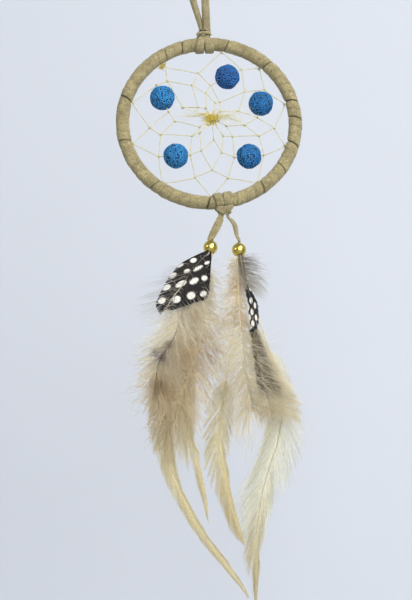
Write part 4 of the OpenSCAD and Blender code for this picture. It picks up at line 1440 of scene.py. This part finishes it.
def right_brown():
    def paint(f, u, at):
        inner = 1 - ramp(u, 0.32, 0.62)
        tone = raised((222, 212, 190)) * (1 - inner)[..., None] + colour(112, 76, 20) * inner[..., None]
        low = ramp(at[..., 2], -49, -44)[..., None]
        return tone * low + raised((216, 204, 178)) * (1 - low)

    f = Feather(
        "right_brown_plume_barbs", "right_brown_plume",
        [(0.72, -0.2, -0.2), (1.1, -0.2, -2.7), (1.9, -0.2, -9), (2.9, -0.5, -18), (3.8, -1.3, -25), (4.5, -2.1, -30.8),
         (5.5, -2.4, -37.1), (6.6, -2.3, -43.3), (8, -2, -48), (9.4, -1.5, -53)],
        571, quill=(0.22, 0.05), tones=((170, 146, 106), (116, 88, 52)),
    )
    for way, reach in ((1, [4, 6.5, 8.5, 10, 11, 11, 10]), (-1, [2, 2.6, 3, 3.4, 4, 5, 5])):
        lines, tone = f.barbs(way, (0.45, 0.99), 460, reach, [44, 50, 54, 60, 68, 76, 66], paint, width=0.045,
                              bend=18, curl=12, scatter=10, stray=5, clump=8, pull=0.6, joints=10, ragged=0.15)
        f.barbules(lines, tone, 10, 0.7, 0.013)
    cream = blend_tones((224, 216, 200), (222, 214, 196), (220, 210, 190))
    lines, tone = f.barbs(1, (0.48, 0.99), 420, [5, 8, 10, 11], [66, 60, 52, 40], cream, width=0.024, bend=16,
                          curl=28, scatter=22, stray=18, joints=9, sag=0.1, ragged=0.25)
    f.barbules(lines, tone, 9, 0.9, 0.012)
    f.build(BROWN, "brown_feather")


def right_middle():
    paint = blend_tones((200, 190, 166), (200, 190, 164), (202, 192, 160), (204, 190, 150), (202, 188, 146),
                        (202, 190, 156))
    f = Feather(
        "right_middle_hackle_barbs", "right_middle_hackle",
        [(-0.45, 0.6, -0.2), (-0.4, 0.7, -2.7), (-0.6, 0.9, -9), (-1.4, 1, -22), (-3, 1, -35), (-5.1, 1, -47.8),
         (-6.0, 1, -56), (-6.3, 1, -62), (-4.8, 1, -70.2), (-2.9, 1, -78.2), (-0.8, 1, -85), (0.7, 1, -89)],
        581, quill=(0.22, 0.06), tones=((206, 192, 160), (200, 184, 146), (198, 170, 112)),
    )
    hackle(f, (0.46, 0.985), 560, [5, 8, 9, 8, 6, 4, 3, 2.4, 1.8], [6, 9, 11, 12, 13, 13, 12, 8, 4],
           [40, 34, 26, 20, 17, 15, 14, 12, 9], paint, width=0.05, bend=6, cup=-3, stray=3.5, clump=18, pull=0.7,
           joints=8, ragged=0.16)
    f.build(HACKLE, "tan_feather")


def right_long():
    paint = blend_tones(
        (218, 212, 198), (218, 214, 202), (218, 216, 206), (218, 216, 206), (214, 208, 190), (200, 190, 156),
        (196, 186, 150),
    )
    f = Feather(
        "right_long_hackle_barbs", "right_long_hackle",
        [(0.45, 0.6, -0.2), (0.7, 1, -2.7), (2.4, 1.9, -9), (5.6, 2.3, -20), (9, 2.3, -31), (11.6, 2.3, -41),
         (12.8, 2.3, -50.5), (11.5, 2.3, -59.8), (9, 2.3, -67.4), (6.8, 2.3, -75), (5.5, 2.3, -82.4), (4.5, 2.3, -89.8),
         (4.7, 2.3, -97.1), (4.4, 2.3, -107)],
        591, quill=(0.26, 0.06), tones=((220, 208, 186), (200, 188, 170), (176, 164, 148), (190, 174, 140)),
    )
    hackle(f, (0.3, 0.99), 900, [5, 8, 12, 15, 14, 12, 10, 7, 4, 2.2], [6, 9, 13, 16, 17, 15, 13, 11, 8, 3],
           [44, 38, 34, 28, 24, 20, 16, 13, 10, 7], paint, width=0.042, bend=8, cup=-4, stray=4, clump=14, pull=0.55,
           joints=8, ragged=0.16)
    f.build(DOWN, "cream_feather")


for grow in (left_spotted, left_front, left_back, left_short, left_long,
             right_spotted, right_cream, right_brown, right_middle, right_long):
    grow()
